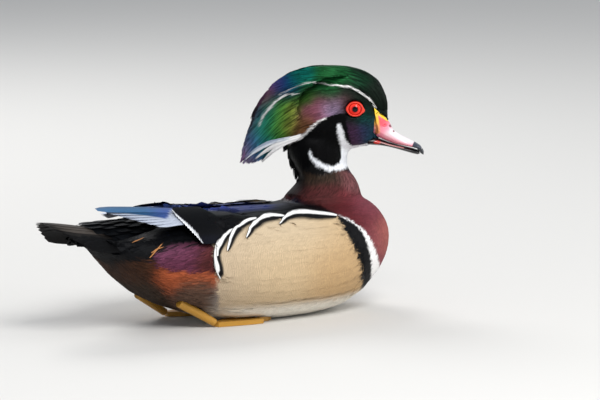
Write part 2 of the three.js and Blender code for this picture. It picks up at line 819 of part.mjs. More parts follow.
const { neck, head } = makeNeckAndHead();
const bill = makeBill();
const single = [
  ["breast", makeBreast(), MATERIALS.chestnut],
  ["torso", makeTorso(), MATERIALS.belly],
  ["rump", makeRump(), MATERIALS.rump],
  ["neck", neck, MATERIALS.black],
  ["head", head, MATERIALS.crest],
  ["crest", makeCrest(), MATERIALS.crest],
  ["bill_upper", bill.upper, MATERIALS.bill],
  ["bill_lower", bill.lower, MATERIALS.dark],
  ["bill_nail", bill.nail, MATERIALS.dark],
  ["tail", makeTail(), MATERIALS.tail],
  ["tail_coverts", makeTailCoverts(), MATERIALS.tail],
];
for (const [name, made, material] of single) duck.add(node(name, made, material));

for (const [name, side] of [["right", 1], ["left", -1]]) {
  duck.add(node(`eye_${name}`, makeEye(side), MATERIALS.eye));
  duck.add(node(`eyelid_${name}`, makeLid(side), MATERIALS.lid));
}

const paired = [
  ["flank", makeFlank(), MATERIALS.buff],
  ["leg", makeShank(), MATERIALS.foot],
  ["foot", makeFoot(), MATERIALS.foot],
];
for (const [name, made, material] of paired) {
  const right = node(`${name}_right`, made, material);
  duck.add(right, mirrored(right, `${name}_left`));
}

const wing = node("wing_right", makeWing(WING_TIP), MATERIALS.wing);
const tighterWing = node("wing_left", makeWing(HIDDEN_WING_TIP), MATERIALS.wing);
duck.add(wing, mirrored(tighterWing, "wing_left"));

export default duck;
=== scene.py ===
"""Looks of the drake wood duck: its coat of feathers, bill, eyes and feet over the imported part.

Points are in millimetres, in the part's own frame, and turn to metres when a mesh is made.
The near side's markings are placed by the photograph's pixels and repeated on the far side.
"""

import math

import bmesh
import bpy
import numpy as np
from mathutils import Matrix, Vector
from mathutils.bvhtree import BVHTree


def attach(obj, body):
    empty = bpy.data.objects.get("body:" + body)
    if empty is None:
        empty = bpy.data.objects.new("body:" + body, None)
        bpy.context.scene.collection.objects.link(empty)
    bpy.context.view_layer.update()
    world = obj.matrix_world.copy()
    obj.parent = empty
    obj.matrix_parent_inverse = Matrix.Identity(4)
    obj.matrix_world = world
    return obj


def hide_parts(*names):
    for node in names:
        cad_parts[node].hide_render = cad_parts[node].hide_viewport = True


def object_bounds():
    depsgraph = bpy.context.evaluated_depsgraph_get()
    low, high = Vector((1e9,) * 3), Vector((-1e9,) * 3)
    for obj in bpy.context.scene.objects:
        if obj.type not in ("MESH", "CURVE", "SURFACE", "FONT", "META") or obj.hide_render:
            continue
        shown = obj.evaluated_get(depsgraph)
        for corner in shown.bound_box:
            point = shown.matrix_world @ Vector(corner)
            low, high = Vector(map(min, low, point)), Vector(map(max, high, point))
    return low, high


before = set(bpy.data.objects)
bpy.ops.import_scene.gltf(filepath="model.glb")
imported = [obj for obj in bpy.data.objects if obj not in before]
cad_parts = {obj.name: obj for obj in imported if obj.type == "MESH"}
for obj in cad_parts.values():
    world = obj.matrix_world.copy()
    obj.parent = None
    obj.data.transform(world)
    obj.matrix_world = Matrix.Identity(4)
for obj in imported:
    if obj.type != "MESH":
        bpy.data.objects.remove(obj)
cad_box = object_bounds()

MM = 0.001
PIXEL = 0.765  # millimetres of the near side that one pixel of the photograph covers
VIEW_TURN = math.radians(-38)
VIEW_RISE = math.radians(8)
HEAD_TURN = math.radians(-38)
IMAGE_SIZE = (600, 400)
ORIGIN_PIXEL = (245.0, 314.7)
EYE_PIXEL = (355.0, 105.85)
EYE_MIDDLE = np.array((96.6, -13.3, 154.5))
EYE_RADIUS = 6.3
EYE_OUT = 12.6
BODY = "root"
random = np.random.default_rng(7)

FORWARD = np.array((math.cos(HEAD_TURN), math.sin(HEAD_TURN), 0.0))
OUTWARD = np.array((math.sin(HEAD_TURN), -math.cos(HEAD_TURN), 0.0))
UPWARD = np.array((0.0, 0.0, 1.0))
VIEW_RIGHT = np.array((math.cos(VIEW_TURN), math.sin(VIEW_TURN), 0.0))
VIEW_BACK = np.array(
    (
        math.sin(VIEW_TURN) * math.cos(VIEW_RISE),
        -math.cos(VIEW_TURN) * math.cos(VIEW_RISE),
        math.sin(VIEW_RISE),
    )
)
VIEW_UP = np.cross(VIEW_BACK, VIEW_RIGHT)


# Small helpers
def vec(x, y, z):
    return np.array((x, y, z), float)


def mix(a, b, t):
    return a + (b - a) * t


def ramp(low, high, value):
    t = np.clip((value - low) / (high - low), 0.0, 1.0)
    return t * t * (3 - 2 * t)


def unit(vectors):
    return vectors / np.maximum(np.linalg.norm(vectors, axis=-1, keepdims=True), 1e-9)


def bent(root, bend, tip, t):
    """A point at t along a bow from root to tip that is drawn toward bend."""
    return (1 - t) ** 2 * root + 2 * t * (1 - t) * bend + t * t * tip


def reading(table, at):
    """The value at a place between a table's rows of place and value."""
    return np.interp(at, *zip(*table))


def rgb(code):
    """A linear colour from six hexadecimal digits."""
    parts = np.array([int(code[i : i + 2], 16) for i in (0, 2, 4)]) / 255
    return np.where(parts <= 0.04045, parts / 12.92, ((parts + 0.055) / 1.055) ** 2.4)


def head_point(forward, up, out):
    forward, up, out = np.broadcast_arrays(forward, up, out)
    return (
        EYE_MIDDLE
        + forward[..., None] * FORWARD
        + up[..., None] * UPWARD
        + out[..., None] * OUTWARD
    )


def head_local(points):
    offset = points - EYE_MIDDLE
    return offset @ FORWARD, offset @ UPWARD, offset @ OUTWARD


# Where a point of the near side, or its twin on the far side, shows in the photograph
def head_pixels(points):
    forward, up, out = head_local(points)
    across = EYE_PIXEL[0] + forward / PIXEL
    down = EYE_PIXEL[1] - (VIEW_UP[2] * up - VIEW_BACK[2] * np.abs(out)) / PIXEL
    return across, down


def body_pixels(points):
    near = points * (1.0, 0.0, 1.0) - np.abs(points) * (0.0, 1.0, 0.0)
    across = ORIGIN_PIXEL[0] + near @ VIEW_RIGHT / PIXEL
    down = ORIGIN_PIXEL[1] - near @ VIEW_UP / PIXEL
    return across, down


def line_distance(u, v, line):
    """Distance from (u, v) to a bent line."""
    nearest = np.full(np.shape(u), 1e9)
    for (au, av), (bu, bv) in zip(line[:-1], line[1:]):
        du, dv = bu - au, bv - av
        t = np.clip(((u - au) * du + (v - av) * dv) / (du * du + dv * dv), 0, 1)
        nearest = np.minimum(nearest, np.hypot(u - au - t * du, v - av - t * dv))
    return nearest


def inside(u, v, outline):
    """Distance from the outline's edge, above zero inside it."""
    closed = outline + outline[:1]
    within = np.zeros(np.shape(u), bool)
    for (au, av), (bu, bv) in zip(closed[:-1], closed[1:]):
        if av == bv:
            continue
        crosses = (av > v) != (bv > v)
        within ^= crosses & (u < au + (v - av) * (bu - au) / (bv - av))
    return np.where(within, 1.0, -1.0) * line_distance(u, v, closed)


def spread(u, v, strokes, reach):
    """Blend of the paints that are laid along strokes."""
    total = np.zeros(np.shape(u) + (3,))
    weight = np.zeros(np.shape(u))
    for paint, line in strokes:
        gap = (line_distance(u, v, line) / reach) ** 2
        near = np.exp(-gap) + 1e-4 / (gap**3 + 1)
        total += near[..., None] * rgb(PAINTS[paint])
        weight += near
    return total / weight[..., None]


def over(colour, mask, code):
    """Lays a colour over others where the mask is above zero, with a soft edge of half a pixel."""
    share = ramp(-0.35, 0.35, mask)[..., None]
    return mix(colour, rgb(code), share)


# Markings
PAINTS = {
    "black green": "0e1811", "bottle green": "103420", "leaf green": "18582c", "sea green": "0c7064",
    "deep blue": "10407c", "violet": "50387c", "copper": "885450", "plum": "443850", "lilac": "867692",
    "night blue": "0c4060", "moss": "386020", "umber": "543438", "rose": "804858", "bronze": "785034",
    "yellow green": "7c8a38", "grass green": "4c8c38", "jade": "2c8c58", "teal": "2c8480",
    "sky blue": "4070a0", "pine": "0c3c34", "aubergine": "402840", "indigo": "2c3054",
    "petrol": "144450", "soot": "0c0a0a", "dark_brown_and_shadow": "34281e", "old rose": "724648", "wine": "4a2020",
    "russet": "5a3430", "chestnut": "62252a", "madder": "844450", "salmon": "b46c60", "oat": "c8b8a4",
    "cream": "deceb4", "straw": "dcc5a1", "sand": "d2b286", "mauve": "80446c", "berry": "6e3454",
    "garnet": "602a30", "rust": "a05030", "earth": "3c2416", "peat": "1a120e", "taupe": "5a4438",
    "ash": "8a8078", "steel blue": "305c82", "cornflower": "3c5290", "ink blue": "344080",
    "ink": "161828", "scarlet": "f55460", "pink": "f994a8", "blush": "fbdce2", "pearl": "faf4f5",
    "coral": "f27e94", "yellow": "ffd82c", "amber": "f8c040", "apricot": "f69e68",
}
# Strokes of paint along the feathers' lie, each a paint and a bent line in pixels
HEAD_STROKES = [
    ("black green", [(385, 102), (380, 92), (373, 83)]),
    ("bottle green", [(366, 77), (354, 74)]),
    ("leaf green", [(345, 73), (332, 73), (320, 75)]),
    ("sea green", [(306, 76), (295, 79)]),
    ("deep blue", [(285, 82), (280, 84)]),
    ("violet", [(276, 85), (272, 86)]),
    ("copper", [(268, 92), (264, 98)]),
    ("plum", [(264, 104), (256, 110), (251, 121), (247, 136)]),
    ("lilac", [(243, 150), (243, 158)]),
    ("night blue", [(293, 88), (284, 92), (270, 98), (263, 112)]),
    ("leaf green", [(330, 90), (318, 89), (306, 89)]),
    ("black green", [(322, 96), (336, 97), (345, 92), (350, 98), (360, 100), (368, 104), (372, 110)]),
    ("black green", [(345, 112), (352, 119)]),
    ("moss", [(308, 96), (296, 99)]),
    ("umber", [(343, 104), (332, 103)]),
    ("rose", [(318, 103), (320, 112), (308, 112)]),
    ("lilac", [(335, 108), (328, 110)]),
    ("bronze", [(305, 120), (299, 128)]),
    ("yellow green", [(291, 112), (288, 124)]),
    ("grass green", [(280, 104), (280, 115), (276, 128)]),
    ("jade", [(268, 108), (268, 119), (266, 131)]),
    ("teal", [(260, 124), (258, 134), (262, 143)]),
    ("sky blue", [(253, 140), (252, 149)]),
    ("pine", [(363, 117), (370, 121)]),
    ("aubergine", [(351, 130), (357, 136), (350, 139)]),
    ("indigo", [(366, 130), (365, 133)]),
    ("petrol", [(377, 126), (375, 132), (371, 136)]),
]
HEAD_REACH = 7.5
BLACK_SIDE = [
    (349, 113), (338, 113.5), (330, 115.8), (323, 119), (312, 127.5), (302, 137.5), (292, 143),
    (282, 148.5), (281, 152), (288, 160), (294, 172), (300, 178), (320, 176), (335, 172),
    (348, 172), (352, 160), (352, 146), (349, 135), (346, 122),
]
BRIDLE = [
    (339, 122.5), (336.8, 125), (336.8, 131), (338.8, 138), (340.8, 146), (341.3, 157),
    (339.5, 162.5), (334, 166), (327, 165.5), (319, 161), (313, 157), (310.3, 151.5),
    (309, 149.5), (308.5, 153), (310, 158.5), (315, 164.5), (322, 168.8), (331, 171.2),
    (340, 170.5), (346, 168), (354, 162), (358, 152), (368, 149), (380, 147), (380, 141),
    (368, 142.8), (360, 144.6), (352, 145.6), (348.5, 143), (345.5, 139), (343.5, 132),
    (341.5, 126),
]
WHITE_TUFT = [
    (303, 133.5), (294, 135.5), (284, 138.5), (278, 142.5), (276, 147), (282, 147), (292, 142.5),
    (302, 138.5),
]
BROW_LINE = [
    (376, 107), (373, 103), (369, 98), (362, 93), (357, 90), (350, 87), (340, 85.5), (330, 84.5),
    (322, 83), (313, 82.5), (307, 83.5), (300, 85.3), (293, 88), (285, 91.5), (279, 95),
]
CREST_LINE = [
    (299, 93.5), (290, 94), (283, 96), (277, 100), (273, 104), (268, 109), (264, 114), (261, 119),
    (259, 126),
]
NAPE_LINE = [(325, 118.3), (320, 120), (315, 124), (310, 129), (303, 136)]
COLLAR_STROKES = [
    ("soot", [(300, 182), (300, 190)]),
    # below the head this dark brown is partly a painted shadow
    ("dark_brown_and_shadow", [(312, 180), (325, 177), (338, 178)]),
    ("old rose", [(346, 177), (352, 186)]),
    ("wine", [(335, 190), (315, 192), (305, 195)]),
    ("chestnut", [(345, 196), (350, 198)]),
]
COLLAR_DOWN = 173  # where the black of the neck turns to the brown collar

BREAST_EDGE = [
    (331, 170), (331, 196), (333, 206), (340, 215), (350, 219.5), (358, 225), (365, 231),
    (370, 238), (374.5, 247), (378, 257), (380, 266), (380, 400),
]
WHITE_BAR_EDGE = [
    (331, 170), (331, 196), (333, 206), (338, 215.5), (346.5, 219.3), (354, 223.7), (360, 229),
    (364.5, 236), (367.5, 244), (370, 253), (371.5, 264), (372, 400),
]
BLACK_BAR_EDGE = [
    (331, 170), (331, 196), (333, 208), (337, 217), (343, 225), (348, 236), (353, 246),
    (357, 254), (361, 263), (364, 400),
]
FLANK = [
    (336, 214), (318, 215), (308, 213.5), (300, 213), (290, 215), (283, 217.5), (275, 217),
    (262, 218.5), (252, 219.5), (243, 225), (235, 231), (228, 233), (222, 240), (217, 248),
    (216, 256), (219, 266), (222, 400), (365, 400), (361, 263), (357, 254), (353, 246),
    (348, 236), (343, 225), (337, 217),
]
RUMP_PATCH = [
    (219, 251), (212, 245), (203, 243.3), (190, 243), (176, 246), (164, 250), (159, 256),
    (162, 264), (175, 269), (200, 271), (221, 271),
]
RUMP_STROKES = [
    ("mauve", [(168, 250), (182, 249)]),
    ("berry", [(176, 260), (196, 250), (192, 261)]),
    ("garnet", [(212, 252), (207, 263)]),
]
RUST_STROKES = [
    ("rust", [(215, 268), (195, 270), (172, 270)]),
    ("earth", [(150, 266), (130, 268)]),
    ("peat", [(112, 266), (110, 285)]),
    ("taupe", [(202, 290), (196, 290)]),
    ("dark_brown_and_shadow", [(150, 295), (146, 295)]),
    ("ash", [(230, 300), (234, 300)]),
]
RUST = [
    (221, 264), (205, 268), (180, 268.5), (162, 264), (152, 259), (130, 261), (112, 262),
    (95, 262), (95, 300), (160, 330), (240, 330), (222, 290),
]
BACK_BLUE = [
    ("steel blue", [(95, 204), (150, 205)]),
    ("cornflower", [(165, 205), (190, 204.5)]),
    ("ink blue", [(225, 203.5), (262, 202.5)]),
    ("ink", [(285, 202), (305, 202)]),
]
BLUE_LOW = [(95, 210.5), (150, 211.5), (176, 210), (200, 209), (235, 208), (270, 206), (300, 203)]
BACK_BLACK = "0a0b0e"
CHEST_TOP = [
    (345, 168), (335, 176), (322, 184), (308, 190), (294, 197.5), (300, 201), (312, 203.5),
    (322, 206.5), (331, 211), (340, 216), (400, 216), (400, 168),
]
BREAST_STROKES = [
    ("wine", [(298, 199), (312, 199), (325, 204)]),
    ("russet", [(320, 190), (324, 190)]),
    # a painted shadow below the head, on the top of the breast
    ("dark_brown_and_shadow", [(315, 181), (330, 182)]),
    ("old rose", [(344, 180), (347, 180)]),
    ("chestnut", [(330, 196), (350, 192), (345, 208)]),
    ("madder", [(362, 200), (372, 212), (376, 241), (378, 262)]),
    ("chestnut", [(364, 222), (366, 223)]),
    ("salmon", [(384, 230), (386, 246)]),
    ("oat", [(379, 300), (381, 300)]),
]
FLANK_STROKES = [
    ("cream", [(300, 226), (270, 236), (240, 240)]),
    ("sand", [(348, 250), (335, 262)]),
    ("straw", [(328, 226), (332, 226)]),
    ("straw", [(290, 258), (250, 262)]),
    ("oat", [(232, 256), (232, 260)]),
]
FLANK_SHADE = np.array((0.79, 0.75, 0.7))
RUMP_SHADE = np.array((0.66, 0.7, 0.56))
BREAST_SHADE = np.array((0.82, 0.72, 0.72))


def collar_edge(u):
    return COLLAR_DOWN + 3 * np.sin(u / 7.0)


def head_colour(points):
    """Gloss, then the black side, white bridle, tuft and lines over it, and the collar below."""
    u, v = head_pixels(points)
    colour = spread(u, v, HEAD_STROKES, HEAD_REACH)
    colour = over(colour, inside(u, v, BLACK_SIDE), "050506")
    colour = over(colour, inside(u, v, BRIDLE), "eef0f4")
    colour = over(colour, inside(u, v, WHITE_TUFT), "e6e2e0")
    brow_half = np.interp(u, (275, 300, 330, 350, 376), (0.1, 0.45, 0.6, 0.85, 0.8))
    crest_half = np.interp(u, (257, 262, 284, 292, 300), (0.2, 0.8, 1.0, 0.7, 0.0))
    for line, half in ((BROW_LINE, brow_half), (CREST_LINE, crest_half), (NAPE_LINE, 1.0)):
        colour = over(colour, half - line_distance(u, v, line), "eeecea")
    collar = spread(u, v, COLLAR_STROKES, 7)
    return mix(colour, collar, ramp(-1.5, 1.5, v - collar_edge(u))[..., None])


CHEST_REAR = 40  # the chest's colours stay in front of this
FAR_OFF = -5.0  # a mask's value where a marking can't be


def body_colour(points):
    """Back, rump, flank, bars, chest and belly, each laid over the ones before it."""
    u, v = body_pixels(points)
    low_edge = reading(BLUE_LOW, u)
    x, y, z = (points[..., i] for i in range(3))
    middle = 0.55 * ramp(26, 14, np.abs(y)) * ramp(-125, -100, x) * ramp(45, 5, x) * ramp(76, 82, z)
    blue = np.maximum(ramp(2.2, -1.8, v - low_edge), middle)[..., None]
    colour = mix(rgb(BACK_BLACK), spread(u, v, BACK_BLUE, 12), blue)
    breast = spread(u, v, BREAST_STROKES, 11) * BREAST_SHADE
    flank = spread(u, v, FLANK_STROKES, 26) * FLANK_SHADE
    breast_edge, white_edge, black_edge = (
        reading([(down, across) for across, down in line], v)
        for line in (BREAST_EDGE, WHITE_BAR_EDGE, BLACK_BAR_EDGE)
    )
    below_back = ramp(-0.4, 0.4, v - 200)
    rust = ramp(-3, 3, np.where(v > 240, inside(u, v, RUST), FAR_OFF))[..., None]
    colour = mix(colour, spread(u, v, RUST_STROKES, 11), rust)
    rump = ramp(-2.5, 1.5, inside(u, v, RUMP_PATCH))[..., None]
    colour = mix(colour, spread(u, v, RUMP_STROKES, 9) * RUMP_SHADE, rump)
    colour = mix(colour, flank, ramp(-0.35, 0.35, inside(u, v, FLANK))[..., None])
    bars = (v > 205) & (x > 20)
    colour = over(colour, np.where(bars, u - black_edge, FAR_OFF), "08080b")
    colour = over(colour, np.where(bars, u - white_edge, FAR_OFF), "f0eeec")
    ahead = np.where(x > CHEST_REAR, u - breast_edge, FAR_OFF) * below_back
    high = np.where(x > CHEST_REAR, inside(u, v, CHEST_TOP), FAR_OFF)
    chest = np.maximum(ramp(-0.35, 0.35, ahead), ramp(-2.0, 1.5, high))[..., None]
    colour = mix(colour, breast, chest)
    belly = ramp(20, 8, z) * ramp(-70, -40, x)
    return mix(colour, rgb("e8e2d6"), belly[..., None])


HEAD_COLOUR_UP = (86.0, 88.0)  # the heights, and the places forward, over which the head's colours begin
HEAD_COLOUR_FORWARD = (30, 36)


def coat_colour(points):
    """Head colours above the collar and body colours below it."""
    above = ramp(*HEAD_COLOUR_UP, points[..., 2])
    on_head = (above * ramp(*HEAD_COLOUR_FORWARD, points[..., 0]))[..., None]
    return mix(body_colour(points), head_colour(points), on_head)


# Meshes from arrays
def new_object(name, data):
    obj = bpy.data.objects.new(name, data)
    bpy.context.collection.objects.link(obj)
    return obj


def move_points(mesh, points):
    mesh.vertices.foreach_set("co", (points * MM).astype(np.float32).ravel())
    mesh.update()


def grid_quads(index):
    """Quads between the neighbours in a grid, or a row of grids, of vertex numbers."""
    corners = (index[..., :-1, :-1], index[..., :-1, 1:], index[..., 1:, 1:], index[..., 1:, :-1])
    return np.stack(corners, -1).reshape(-1, 4)


def mesh_object(name, points, quads, material, smooth=True):
    mesh = bpy.data.meshes.new(name)
    mesh.vertices.add(len(points))
    mesh.vertices.foreach_set("co", (points * MM).astype(np.float32).ravel())
    mesh.loops.add(quads.size)
    mesh.loops.foreach_set("vertex_index", quads.astype(np.int32).ravel())
    mesh.polygons.add(len(quads))
    mesh.polygons.foreach_set("loop_start", np.arange(0, quads.size, quads.shape[1], dtype=np.int32))
    mesh.update(calc_edges=True)
    mesh.validate()
    if smooth:
        mesh.shade_smooth()
    mesh.materials.append(material)
    return new_object(name, mesh)


def set_colours(obj, colours):
    flat = np.ones((len(obj.data.vertices), 4), np.float32)
    flat[:, :3] = np.clip(colours.reshape(-1, 3), 0, 1)
    layer = obj.data.color_attributes.new("Col", "FLOAT_COLOR", "POINT")
    layer.data.foreach_set("color", flat.ravel())


def set_uv(obj, name, per_vertex):
    loops = np.empty(len(obj.data.loops), np.int32)
    obj.data.loops.foreach_get("vertex_index", loops)
    layer = obj.data.uv_layers.new(name=name)
    layer.data.foreach_set("uv", per_vertex.reshape(-1, 2)[loops].astype(np.float32).ravel())


HALF_PATCH = 0.0015  # half of a feather's patch on the bake map


HEAD_MAP_FROM = 105


def bake_spots(roots):
    """A feather's place on an unwrap of the skin: the body on the left, the head on the right."""
    on_head = roots[:, 2] > HEAD_MAP_FROM
    turn = np.arctan2(roots[:, 1], roots[:, 2] - 45) / (2 * np.pi) + 0.5
    along = (roots[:, 0] + 200) / 340
    forward, up, out = head_local(roots)
    head_turn = np.arctan2(out, up + 2) / (2 * np.pi) + 0.5
    head_along = (forward + 95) / 130
    u = np.where(on_head, 0.67 + 0.31 * head_turn, 0.02 + 0.62 * turn)
    v = np.where(on_head, 0.02 + 0.96 * head_along, 0.02 + 0.96 * along)
    return np.clip(np.stack((u, v), 1), 0.005, 0.995)


WIDTHS = {
    "round": ((0, 0.45), (0.3, 0.9), (0.65, 1.0), (0.88, 0.72), (1, 0.16)),
    "long": ((0, 0.5), (0.25, 0.85), (0.75, 1.0), (0.92, 0.75), (1, 0.15)),
    "blunt": ((0, 0.5), (0.25, 0.85), (0.85, 1.0), (0.96, 0.9), (1, 0.6)),
    "wing": ((0, 0.5), (0.25, 0.85), (0.85, 1.0), (0.95, 0.8), (1, 0.35)),
    "hair": ((0, 0.5), (0.3, 1.0), (0.7, 0.75), (1, 0.06)),
}


def sheets(name, spine, side, width, material, colour, shape="round", columns=3, crown=0.16,
           fit=None):
    """Feathers as curved sheets. spine holds each one's middle line and side its crosswise
    directions; colour is called with points, place across and place along, and fit with points."""
    count, rows = spine.shape[:2]
    along = np.linspace(0, 1, rows)
    across = np.linspace(-1, 1, columns)
    half = 0.5 * width[:, None] * reading(WIDTHS[shape], along)[None]
    tangent = np.gradient(spine, axis=1)
    normal = unit(np.cross(side, tangent))
    reach, place = half[:, :, None, None], across[None, None, :, None]
    arch = normal[:, :, None] * (crown * reach * (1 - place**2))
    points = spine[:, :, None] + side[:, :, None] * (reach * place) + arch
    if fit:
        points = fit(points)
    index = np.arange(count * rows * columns).reshape(count, rows, columns)
    obj = mesh_object(name, points.reshape(-1, 3), grid_quads(index), material)
    place = np.broadcast_to(across[None, None, :], points.shape[:3])
    way = np.broadcast_to(along[None, :, None], points.shape[:3])
    set_colours(obj, colour(points, place, way))
    spots = bake_spots(spine[:, 0])[:, None, None]
    patch = np.stack((place, way * 2 - 1), -1) * HALF_PATCH
    set_uv(obj, "OFBake", spots + patch)
    set_uv(obj, "Vane", np.stack((place * 0.5 + 0.5, way), -1))
    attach(obj, BODY)
    return obj


# Materials
def new_material(name, colour, roughness, metallic=0.0, specular=0.5, sheen=0.0, coat=0.0):
    material = bpy.data.materials.new(name)
    material.use_nodes = True
    shader = material.node_tree.nodes["Principled BSDF"]
    shader.inputs["Base Color"].default_value = (*rgb(colour), 1)
    shader.inputs["Roughness"].default_value = roughness
    shader.inputs["Metallic"].default_value = metallic
    shader.inputs["Specular IOR Level"].default_value = specular
    shader.inputs["Sheen Weight"].default_value = sheen
    shader.inputs["Sheen Roughness"].default_value = 0.5
    shader.inputs["Coat Weight"].default_value = coat
    shader.inputs["Coat Roughness"].default_value = 0.06
    return material, material.node_tree, shader


def new_group(name, inputs, outputs):
    group = bpy.data.node_groups.new(name, "ShaderNodeTree")
    for label, kind in inputs:
        group.interface.new_socket(label, in_out="INPUT", socket_type=kind)
    for label, kind in outputs:
        group.interface.new_socket(label, in_out="OUTPUT", socket_type=kind)
    return group, group.nodes.new("NodeGroupInput"), group.nodes.new("NodeGroupOutput")


def math_node(tree, operation, first, second=None, third=None):
    node = tree.nodes.new("ShaderNodeMath")
    node.operation = operation
    for socket, value in zip(node.inputs, (first, second, third)):
        if value is None:
            continue
        if isinstance(value, (int, float)):
            socket.default_value = value
        else:
            tree.links.new(value, socket)
    return node.outputs[0]


def tint_of(tree):
    """The colour that a piece carries in its Col attribute."""
    tint = tree.nodes.new("ShaderNodeAttribute")
    tint.attribute_name = "Col"
    return tint.outputs["Color"]


def scaled(tree, colour, share):
    """A colour made brighter or darker by a share that changes over the surface."""
    shade = tree.nodes.new("ShaderNodeVectorMath")
    shade.operation = "SCALE"
    tree.links.new(colour, shade.inputs[0])
    tree.links.new(share, shade.inputs["Scale"])
    return shade.outputs[0]


def barb_group():
    """Fine slanting barbs and a midrib from a feather's own map, as height and as brightness."""
    group, source, sink = new_group(
        "Barbs",
        [("Vane", "NodeSocketVector")],
        [("Height", "NodeSocketFloat"), ("Bright", "NodeSocketFloat")],
    )
    split = group.nodes.new("ShaderNodeSeparateXYZ")
    group.links.new(source.outputs["Vane"], split.inputs[0])
    off = math_node(group, "ABSOLUTE", math_node(group, "SUBTRACT", split.outputs[0], 0.5))
    slant = math_node(group, "MULTIPLY_ADD", off, -0.55, split.outputs[1])
    wave = math_node(group, "SINE", math_node(group, "MULTIPLY", slant, 150.0))
    noise = group.nodes.new("ShaderNodeTexNoise")
    noise.inputs["Scale"].default_value = 9.0
    noise.inputs["Detail"].default_value = 2.0
    combine = group.nodes.new("ShaderNodeCombineXYZ")
    group.links.new(math_node(group, "MULTIPLY", slant, 4.0), combine.inputs[0])
    group.links.new(split.outputs[0], combine.inputs[1])
    group.links.new(combine.outputs[0], noise.inputs["Vector"])
    rib = math_node(group, "LESS_THAN", off, 0.03)
    height = math_node(group, "MULTIPLY_ADD", wave, 0.25, math_node(group, "MULTIPLY", rib, 0.8))
    group.links.new(math_node(group, "ADD", height, noise.outputs[0]), sink.inputs["Height"])
    bright = math_node(group, "MULTIPLY_ADD", noise.outputs[0], 0.7, 0.65)
    group.links.new(bright, sink.inputs["Bright"])
    return group


BARBS = barb_group()


def feather_material(name, roughness, metallic=0.0, specular=0.4, sheen=0.0, bump=0.25):
    material, tree, shader = new_material(name, "808080", roughness, metallic, specular, sheen)
    vane = tree.nodes.new("ShaderNodeUVMap")
    vane.uv_map = "Vane"
    barbs = tree.nodes.new("ShaderNodeGroup")
    barbs.node_tree = BARBS
    tree.links.new(vane.outputs["UV"], barbs.inputs["Vane"])
    shaded = scaled(tree, tint_of(tree), barbs.outputs["Bright"])
    tree.links.new(shaded, shader.inputs["Base Color"])
    relief = tree.nodes.new("ShaderNodeBump")
    relief.inputs["Strength"].default_value = bump
    relief.inputs["Distance"].default_value = 0.0002
    tree.links.new(barbs.outputs["Height"], relief.inputs["Height"])
    tree.links.new(relief.outputs["Normal"], shader.inputs["Normal"])
    return material


def flank_material():
    """The flank's feathers, with fine wavy lines across them."""
    material = feather_material("flank_feathers", 0.65, specular=0.12, bump=0.1)
    tree = material.node_tree
    shader = tree.nodes["Principled BSDF"]
    place = tree.nodes.new("ShaderNodeTexCoord")
    wave = tree.nodes.new("ShaderNodeTexWave")
    wave.inputs["Scale"].default_value = 240.0
    wave.inputs["Distortion"].default_value = 9.0
    wave.inputs["Detail"].default_value = 1.0
    wave.inputs["Detail Scale"].default_value = 0.6
    tree.links.new(place.outputs["Object"], wave.inputs["Vector"])
    bright = math_node(tree, "MULTIPLY_ADD", wave.outputs["Fac"], 0.22, 0.86)
    plain = shader.inputs["Base Color"].links[0].from_socket
    tree.links.new(scaled(tree, plain, bright), shader.inputs["Base Color"])
    return material


def painted_material(name, roughness, specular=0.5, coat=0.0, colour="808080"):
    """A surface that shows its Col attribute."""
    material, tree, shader = new_material(name, colour, roughness, 0.0, specular, 0.0, coat)
    tree.links.new(tint_of(tree), shader.inputs["Base Color"])
    return material


SOFT_COAT = feather_material("soft_feathers", 0.65, specular=0.12)
GLOSS_COAT = feather_material("glossy_feathers", 0.4, metallic=0.5, specular=0.1)
FLANK_COAT = flank_material()
WING_COAT = feather_material("wing_feathers", 0.45, metallic=0.3, specular=0.08)
SKIN_COAT = painted_material("skin_under_feathers", 0.8, 0.2)
BILL_SKIN = painted_material("bill_skin", 0.3, 0.5, 0.3)


# The skin under the feathers
def node_copy(name, names, cut_behind=None):
    """The named nodes as one mesh, merged by distance, optionally cut off behind a given x."""
    shape = bmesh.new()
    for node in names:
        shape.from_mesh(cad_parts[node].data)
    bmesh.ops.remove_doubles(shape, verts=shape.verts, dist=1e-5)
    if cut_behind is not None:
        parts = shape.verts[:] + shape.edges[:] + shape.faces[:]
        cut = bmesh.ops.bisect_plane(
            shape, geom=parts, plane_co=(cut_behind * MM, 0, 0), plane_no=(-1, 0, 0), clear_outer=True
        )
        rim = [part for part in cut["geom_cut"] if isinstance(part, bmesh.types.BMEdge)]
        bmesh.ops.holes_fill(shape, edges=rim, sides=0)
    mesh = bpy.data.meshes.new(name)
    shape.to_mesh(mesh)
    shape.free()
    return mesh


def remeshed(name, meshes, voxel, passes):
    """One closed surface round the meshes, smoothed."""
    shape = bmesh.new()
    for mesh in meshes:
        shape.from_mesh(mesh)
    joined = bpy.data.meshes.new(name + "_source")
    shape.to_mesh(joined)
    shape.free()
    obj = new_object(name + "_source", joined)
    remesh = obj.modifiers.new("Remesh", "REMESH")
    remesh.mode = "VOXEL"
    remesh.voxel_size = voxel * MM
    relax = obj.modifiers.new("Smooth", "SMOOTH")
    relax.factor = 0.5
    relax.iterations = passes
    bpy.context.view_layer.update()
    graph = bpy.context.evaluated_depsgraph_get()
    made = bpy.data.meshes.new_from_object(obj.evaluated_get(graph))
    bpy.data.objects.remove(obj)
    made.name = name
    return made


def mesh_arrays(mesh):
    points = np.empty(len(mesh.vertices) * 3, np.float32)
    mesh.vertices.foreach_get("co", points)
    normals = np.empty(len(mesh.vertices) * 3, np.float32)
    mesh.vertices.foreach_get("normal", normals)
    return points.reshape(-1, 3).astype(float) / MM, normals.reshape(-1, 3).astype(float)


SKIN_DEPTH = 1.1  # how far the skin lies inside the solids
